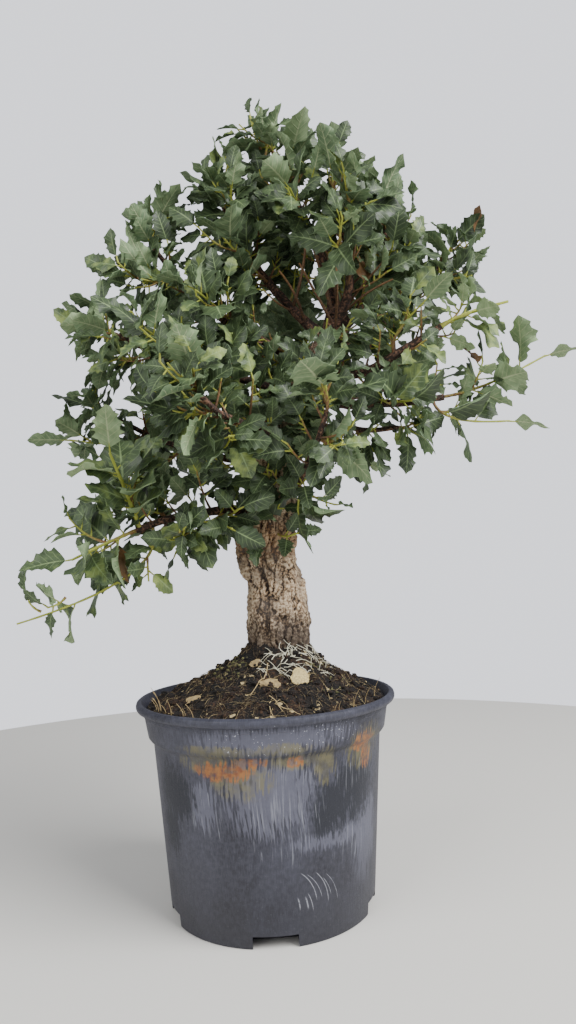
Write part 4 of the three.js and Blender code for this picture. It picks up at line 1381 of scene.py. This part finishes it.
def makePot(shape):
    pot = plainMesh("nursery_pot", *latheOf([*shape["outside"], *shape["inside"]], shape["segments"]))
    wall, start, top, wide = shape["wall"], shape["notchFrom"], shape["notchHeight"], shape["notchWidth"]
    core = [(0, -5), (shape["insideWall"], -5), (shape["insideWall"], 40), (0, 40)]
    core = plainMesh("pot_core", *latheOf(core, 96))
    pockets = boxesRound("pot_pockets", start - wall, 120, wide + 2 * wall, 1, top + wall)
    pot = carve(pot, carve(pockets, core, "INTERSECT"), "UNION")
    pot = carve(pot, boxesRound("pot_notches", start, 130, wide, -6, top), "DIFFERENCE")
    pot = carve(pot, drainPins(), "DIFFERENCE")
    bpy.context.scene.collection.objects.link(pot)
    pot.data.materials.clear()
    pot.data.materials.append(makePotPlastic(potLook, potMarks, potScratches))
    pot.data.polygons.foreach_set("material_index", [0] * len(pot.data.polygons))
    pot.data.shade_smooth()
    pot.data.set_sharp_from_angle(angle=math.radians(32))
    seatPiece(pot, ["pot"])


makePot(potShape)
report("pot made")


# Soil: a crumbly mound of compost with fibres, chips, moss and pale roots on it
soilShape = {
    "edgeRadius": 115.4,
    "edge": 189,
    "peak": 246,
    "collarRise": 14,  # where the soil is heaped against the trunk
    "collarReach": 10,
    "trunkAt": 15,  # to the right of the pot's axis
    "trunkRadius": 31,
    "relief": 2.2,
    "bandRadius": 118.6,
    "wall": 2.6,
    "around": 280,
    "rings": 66,
    "sides": [(106.4, 160), (100.4, 80), (94.9, 13.9), (0, 13.9)],
}


# The height of the solid's mound
def soilHeight(x, y):
    shape = soilShape
    off = math.hypot(x - shape["trunkAt"], y)
    fromEdge = max(0, 1 - math.hypot(x, y) / (shape["bandRadius"] - shape["wall"]))
    rise = (shape["peak"] - shape["edge"]) * (fromEdge / (fromEdge + off / shape["bandRadius"] + 0.02))
    crumbs = shape["relief"] * math.sin(x / 7.3 + 1.1 * math.sin(y / 11)) * math.cos(y / 6.1 + x / 17)
    collar = shape["collarRise"] * math.exp(-max(0, off - shape["trunkRadius"]) / shape["collarReach"])
    return shape["edge"] + rise + crumbs * min(1, 6 * fromEdge) + collar


# The mound with its clods: raised lumps with narrow gaps between them
def soilTop(x, y):
    fromEdge = max(0, 1 - math.hypot(x, y) / soilShape["edgeRadius"])
    calm = min(1, 0.25 + 8 * fromEdge)
    clod = noise.noise(Vector((x / 13, y / 13, 3))) * 2.4
    lump = (0.5 - noise.voronoi(Vector((x / 6.5, y / 6.5, 7)))[0][0]) * 2.2
    small = noise.fractal(Vector((x / 3.4, y / 3.4, 1)), 0.8, 2.1, 3) * 1.1
    return soilHeight(x, y) + calm * (clod + lump + small) - 0.6


soilLook = {
    "compost": [(0.15, "#0b0908"), (0.6, "#19120f"), (0.95, "#46301f")],
    "fleck": "#a58a62",
}


def makeSoilMaterial(look):
    material, tree, shader = newMaterial("compost")
    crumb = mottled(tree, 1.8, 0.3, 0.72, 8.0)
    tint = mottled(tree, 16.0, 0.35, 0.65) * 0.45 + crumb * 0.55
    base = tint.ramp(*look["compost"]).tinted(mottled(tree, 1.1, 0.68, 0.74, 2.0) * 0.6, look["fleck"])
    dress(shader, base, 0.93, crumb, 1.2, 0.9)
    return material


# Looks of what lies on the soil: dark and pale colour, size of the grain and roughness
grainyLooks = {
    "straw and husks": ("#2e1e15", "#cbb787", 2.0, 0.85),
    "moss": ("#3a3f24", "#807b52", 0.9, 0.95),
    "pale roots": ("#9b9880", "#e8e4cf", 1.2, 0.85),
    "straw roots": ("#7a5a38", "#cbb787", 1.6, 0.85),
    "cork chip": ("#5f4728", "#ead596", 1.5, 0.85),
    "dead leaf": ("#5a4630", "#b8a272", 3.0, 0.7),
}


def makeGrainy(name):
    dark, pale, size, roughness = grainyLooks[name]
    material, tree, shader = newMaterial(name)
    grain = mottled(tree, size, 0.28, 0.74, 6.0)
    mixed = attributeOf(tree, "tone") * 0.65 + grain * 0.35
    dress(shader, mixed.ramp((0.1, dark), (0.9, pale)), roughness, grain, 0.4, 0.6)
    return material


def makeSoil(shape):
    shares = [k / shape["rings"] for k in range(shape["rings"] + 1)]
    profile = [(shape["edgeRadius"] * share**0.92, shape["peak"]) for share in shares]
    points, faces = latheOf(profile + shape["sides"], shape["around"])
    # The rings of the top start at the peak's height, and each point then goes to its own
    points = [(x, y, soilTop(x, y)) if z == shape["peak"] else (x, y, z) for x, y, z in points]
    pile = Pile()
    pile.add(points, [tuple(reversed(face)) for face in faces])
    pile.make("compost", [makeSoilMaterial(soilLook)], "soil", ["soil"], 80)


makeSoil(soilShape)
report("soil made")


# What lies on the soil: crumbs, fibres, chips, moss, pale roots and litter
toppingPlan = {
    "crumbs": 1200,
    "fibres": 1000,
    "flakes": 170,
    "moss": 120,
    "strands": 58,
    "climbers": 7,
    "hairs": 16,
    "reach": 112.5,
    "edge": 113.5,  # no fibre goes further out
    "clear": 33,  # from the middle of the trunk
    # long straw roots down the front of the mound: heading, x, y, length and radius
    "straws": [
        (-1.62, 3, -42, 40, 0.55),
        (-1.35, 3, -80, 22, 0.5),
        (-2.0, 4, -88, 19, 0.45),
        (-0.7, 8, -92, 24, 0.45),
    ],
}


def onSoil(x, y, lift=0.0):
    return np.array([x, y, soilTop(x, y) + lift])


# A place at an angle and a distance from the trunk, or from another middle
def awayFrom(angle, away, middle=soilShape["trunkAt"]):
    return middle + away * math.cos(angle), away * math.sin(angle)


# A seeded place on the mound between two shares of its radius, clear of the trunk
def soilPlace(keys, low=0.0, high=1.0):
    for attempt in range(20):
        share = math.sqrt(low**2 + (high**2 - low**2) * draw(*keys, attempt, 1))
        x, y = awayFrom(2 * math.pi * draw(*keys, attempt, 2), toppingPlan["reach"] * share, 0)
        if math.hypot(x - soilShape["trunkAt"], y) > toppingPlan["clear"]:
            return x, y
    return 60.0, 0.0


# A unit ball as points and faces, for crumbs and tufts
def ballGrid(rings, sides):
    turns = [math.pi * k / (rings + 1) for k in range(1, rings + 1)]
    points, faces = latheOf([(0, -1), *((math.sin(t), -math.cos(t)) for t in turns), (0, 1)], sides)
    return np.array(points), faces


def addLump(pile, ball, centre, size, keys, tone, flat=0.75):
    points, faces = ball
    stretchBy = np.array([size * (0.7 + 0.7 * draw(*keys, n)) for n in (4, 5, 6)]) * np.array([1, 1, flat])
    jagged = np.array([0.8 + 0.4 * draw(*keys, n, 7) for n in range(len(points))])
    turned = 6.28 * draw(*keys, 8)
    c, s = math.cos(turned), math.sin(turned)
    spin = np.array([[c, -s, 0], [s, c, 0], [0, 0, 1]])
    pile.add(centre + (points * jagged[:, None] * stretchBy) @ spin.T, faces, 0, None, tone)


# A thin strand that follows the soil, bowed to one side and lifted in its middle
def addFibre(pile, x, y, heading, length, radius, keys, tone, lift=0.5, arch=1.5):
    steps = max(4, int(length / 4))
    bow = (draw(*keys, 11) - 0.5) * 1.8
    centres = []
    for i in range(steps + 1):
        t = i / steps
        turned = heading + bow * t
        x, y = (x + math.cos(turned) * length / steps, y + math.sin(turned) * length / steps) if i else (x, y)
        away = math.hypot(x, y)
        if away > toppingPlan["edge"]:
            x, y = x * toppingPlan["edge"] / away, y * toppingPlan["edge"] / away
        wiggle = 0.5 * math.sin(9 * t + 6 * draw(*keys, 12))
        centres.append(onSoil(x, y, lift + arch * math.sin(math.pi * t) + wiggle * 0.4))
    pile.addTube(centres, [radius * (1 - 0.55 * i / steps) for i in range(steps + 1)], 5, tone)


# The soil's slope at a place, to the right and to the back
def slopeAt(x, y, step=4):
    right = soilHeight(x + step, y) - soilHeight(x - step, y)
    back = soilHeight(x, y + step) - soilHeight(x, y - step)
    return right / (2 * step), back / (2 * step)


# A thin irregular plate on the soil: a chip, a bit of dead leaf or a husk
def addFlake(pile, x, y, size, keys, tone, curl, thick, radii=None, lift=0.6, tilt=0.3, lean=0.0):
    rings = 2
    radii = radii or [0.38 + 0.2 * draw(*keys, n, 13) for n in range(9)]
    count = len(radii) * 3
    known = [*radii, radii[0]]
    turned = 6.28 * draw(*keys, 14) if tilt else 0
    normal = unit(np.array([tilt * (draw(*keys, 15) - 0.5) * 2, tilt * (draw(*keys, 16) - 0.5) * 2, 1.0]))
    slopeX, slopeY = slopeAt(x, y)
    normal = unit(normal + np.array([-slopeX, -slopeY - lean, 0]))
    side = across([1, 0, 0], normal)
    other = np.cross(normal, side)
    centre = onSoil(x, y, lift)
    sheets = []
    for sheet in (1, -1):
        sheets.append(centre + normal * (sheet * thick / 2))
        for ring in range(1, rings + 1):
            for n in range(count):
                angle = 2 * math.pi * n / count
                r = ring / rings * float(np.interp(n / 3, range(len(known)), known))
                r *= 1 + 0.1 * (draw(*keys, n, 17) - 0.5) * (ring == rings)
                u, v = r * math.cos(angle + turned) * size[0], r * math.sin(angle + turned) * size[1]
                bend = curl * (u * u / size[0] - 0.4 * v * v / size[1])
                bumps = 0.35 * math.sin(u * 1.1 + 5 * draw(*keys, 18)) * math.cos(v * 0.9)
                rise = bend + bumps + sheet * thick / 2 * (0.3 if ring == rings else 1)
                sheets.append(centre + side * u + other * v + normal * rise)
    n = 1 + rings * count
    faces = []
    for j in range(count):
        a, b = 1 + j, 1 + (j + 1) % count
        faces += [(0, a, b), (n, n + b, n + a)]
        for _ in range(rings - 1):
            faces += [(a, a + count, b + count, b), (n + a, n + b, n + b + count, n + a + count)]
            a, b = a + count, b + count
        faces.append((a, n + a, n + b, b))
    pile.add(sheets, faces, 0, None, tone)


def makeLoose(plan):
    small, large = ballGrid(2, 6), ballGrid(4, 9)
    crumbs, fibres, flakes = Pile(), Pile(), Pile()
    for k in range(plan["crumbs"]):
        keys = (300, k)
        x, y = soilPlace(keys)
        size = 0.8 + 2.4 * draw(*keys, 3) ** 2.5
        addLump(crumbs, large if size > 1.7 else small, onSoil(x, y, size * 0.25), size, keys, draw(*keys, 9))
    for k in range(plan["fibres"]):
        keys = (310, k)
        x, y = soilPlace(keys, 0.2, 1.0)
        length, radius = 6 + 20 * draw(*keys, 3) ** 1.6, 0.13 + 0.17 * draw(*keys, 6)
        addFibre(fibres, x, y, 6.28 * draw(*keys, 5), length, radius, keys, draw(*keys, 4) ** 6 * 0.8)
    for k in range(plan["flakes"]):
        keys = (320, k)
        x, y = soilPlace(keys, 0.35, 0.97)
        long = 1.8 + 4.4 * draw(*keys, 3) ** 2.6
        size = (long, long * (0.45 + 0.4 * draw(*keys, 4)))
        addFlake(flakes, x, y, size, keys, 0.35 + 0.6 * draw(*keys, 5), 0.12, 0.45)
    straw = makeGrainy("straw and husks")
    crumbs.make("soil_crumbs", [makeSoilMaterial(soilLook)], "soil", (), 70)
    fibres.make("soil_fibres", [straw], "litter", (), 70)
    flakes.make("soil_flakes", [straw], "litter", (), 50)


# Low cushions at the left of the trunk and small patches on the right slope
def makeMoss(plan):
    pile = Pile()
    ball = ballGrid(3, 7)
    for k in range(plan["moss"]):
        keys = (330, k)
        right = k % 4 == 0
        angle = 0.15 + 1.1 * draw(*keys, 1) if right else 3.0 + 1.1 * draw(*keys, 1)
        away = 40 + (44 if right else 26) * draw(*keys, 2)
        x = soilShape["trunkAt"] + away * math.cos(angle)
        y = -away * math.sin(angle if right else abs(angle - math.pi))
        addLump(pile, ball, onSoil(x, y, 0.2), 0.6 + 0.9 * draw(*keys, 3), keys, draw(*keys, 9), 0.9)
    pile.make("moss", [makeGrainy("moss")], "soil", (), 80)


# Pale strands over the trunk's foot, most of them at its front and right, and a few that climb the bark
def makePaleRoots(plan):
    pile = Pile()
    for k in range(plan["strands"]):
        keys = (340, k)
        angle = -1.95 + 2.0 * draw(*keys, 1)
        x, y = awayFrom(angle, 34 + 20 * draw(*keys, 2) ** 1.5)
        heading = angle + (1.57 if k % 2 else -1.57) + 1.6 * (draw(*keys, 3) - 0.5)
        long, thick = 7 + 15 * draw(*keys, 4), 0.26 + 0.26 * draw(*keys, 5)
        addFibre(pile, x, y, heading, long, thick, keys, 0.3 + 0.7 * draw(*keys, 6), 0.7, 2)
    for k in range(plan["climbers"]):
        keys = (350, k)
        angle = -1.75 + 1.5 * draw(*keys, 1)
        foot = onSoil(*awayFrom(angle, 38), 0.4)
        tall, drift = 5 + 11 * draw(*keys, 2), (draw(*keys, 3) - 0.5) * 1.3
        centres = []
        for t in (i / 6 for i in range(7)):
            turned = angle + drift * t + 0.05 * math.sin(7 * t + k)
            centres.append([*awayFrom(turned, 38 - 5.5 * t + 2 * math.sin(math.pi * t)), foot[2] + tall * t])
        pile.addTube(centres, [0.5 - 0.05 * i for i in range(7)], 6, 0.6 + 0.4 * draw(*keys, 4))
    pile.make("pale_roots", [makeGrainy("pale roots")], "litter", (), 70)


# Long straw roots down the front of the mound, and hairs that stand at the rim
def makeStrawRoots(plan):
    pile = Pile()
    for heading, x, y, length, radius in plan["straws"]:
        addFibre(pile, x, y, heading, length, radius, (360, int(length)), 0.8, 1.3, 2)
    for k in range(plan["hairs"]):
        keys = (370, k)
        angle = math.radians(195 + 40 * draw(*keys, 1)) if k % 3 else math.radians(300 + 60 * draw(*keys, 1))
        tall = 8 + 14 * draw(*keys, 2)
        lean = np.array([*awayFrom(angle + 2 * draw(*keys, 3) - 1, 1, 0), 0])
        base = onSoil(*awayFrom(angle, 108, 0), -0.5)
        shares = (0, 0.25, 0.5, 0.75, 1)
        centres = [base + np.array([0, 0, tall * t]) + lean * (tall * 0.5 * t * t) for t in shares]
        pile.addTube(centres, [0.32, 0.3, 0.27, 0.24, 0.2], 4, 0.55)
    pile.make("straw_roots", [makeGrainy("straw roots")], "litter", (), 70)


makeLoose(toppingPlan)
makeMoss(toppingPlan)
makePaleRoots(toppingPlan)
makeStrawRoots(toppingPlan)

# The chip of cork and the three dead leaves that the solids hold: place, size, thickness and corners, then
# how each curls, how high it lies and how far it leans to the front
litter = {
    "bark_chip": (32, -60, 21, 19, 3, 7, 0.02, 4, 0.9),
    "dry_leaf_middle": (5, -63, 22, 15, 1.2, 8, 0.07, 2.2, 0.35),
    "dry_leaf_left": (-66, -55, 16, 10, 1.2, 8, 0.07, 2.2, 0.35),
    "dry_leaf_top": (-8, -37, 13, 10, 1.2, 6, 0.07, 2.2, 0.35),
}


def makeLitter():
    cork, leaf = makeGrainy("cork chip"), makeGrainy("dead leaf")
    for index, (name, row) in enumerate(litter.items()):
        x, y, long, wide, thick, corners, curl, lift, lean = row
        pile = Pile()
        radii = [0.38 + 0.2 * draw(index, n, 9) for n in range(corners)]
        addFlake(pile, x, y, (long, wide), (380, index), 0.6, curl, thick, radii, lift, 0, lean)
        pile.make("loose_" + name, [cork if name == "bark_chip" else leaf], "litter", [name], 60)


makeLitter()
report("toppings made")


# Floor, world and soft lights
stageLook = {
    "floorRadius": 1000,
    "floorDepth": 20,
    "floor": "#e2e0da",
    "floorRoughness": 0.7,
    "world": "#dfe1e8",
    "seenStrength": 1.85,
    "lightStrength": 0.5,
}
# place, size and power
lamps = {
    "window": ((1.5, -1.1, 1.9), 1.8, 110),
    "fill": ((-1.8, -1.5, 1.5), 2.0, 44),
}


def makeFloor(look):
    radius, depth = look["floorRadius"], look["floorDepth"]
    floor = plainMesh("floor", *latheOf([(0, -depth), (radius, -depth), (radius, 0), (0, 0)], 96))
    material, tree, shader = newMaterial("pale floor")
    plug(look["floor"], shader.inputs["Base Color"])
    plug(look["floorRoughness"], shader.inputs["Roughness"])
    floor.data.materials.append(material)
    bpy.context.scene.collection.objects.link(floor)


# A bright room to the camera, and a dimmer one to light the plant
def makeWorld(look):
    world = bpy.data.worlds.new("pale room")
    world.use_nodes = True
    bpy.context.scene.world = world
    tree = world.node_tree
    seen = tree.nodes["Background"]
    lit = tree.nodes.new("ShaderNodeBackground")
    for background, strength in ((seen, look["seenStrength"]), (lit, look["lightStrength"])):
        plug(look["world"], background.inputs["Color"])
        plug(strength, background.inputs["Strength"])
    rays = addNode(tree, "LightPath", {}, "Is Camera Ray")
    either = addNode(tree, "MixShader", {0: rays, 1: Value(lit.outputs[0]), 2: Value(seen.outputs[0])})
    plug(either, tree.nodes["World Output"].inputs["Surface"])


def addLamp(name, place, size, power):
    data = bpy.data.lights.new(name, "AREA")
    data.size = size
    data.energy = power
    lamp = bpy.data.objects.new(name, data)
    lamp.location = Vector(place)
    lamp.rotation_euler = (Vector((0, 0, 0.4)) - Vector(place)).to_track_quat("-Z", "Y").to_euler()
    bpy.context.scene.collection.objects.link(lamp)


makeFloor(stageLook)
makeWorld(stageLook)
for name, row in lamps.items():
    addLamp(name, *row)


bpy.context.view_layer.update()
report("scene ready")
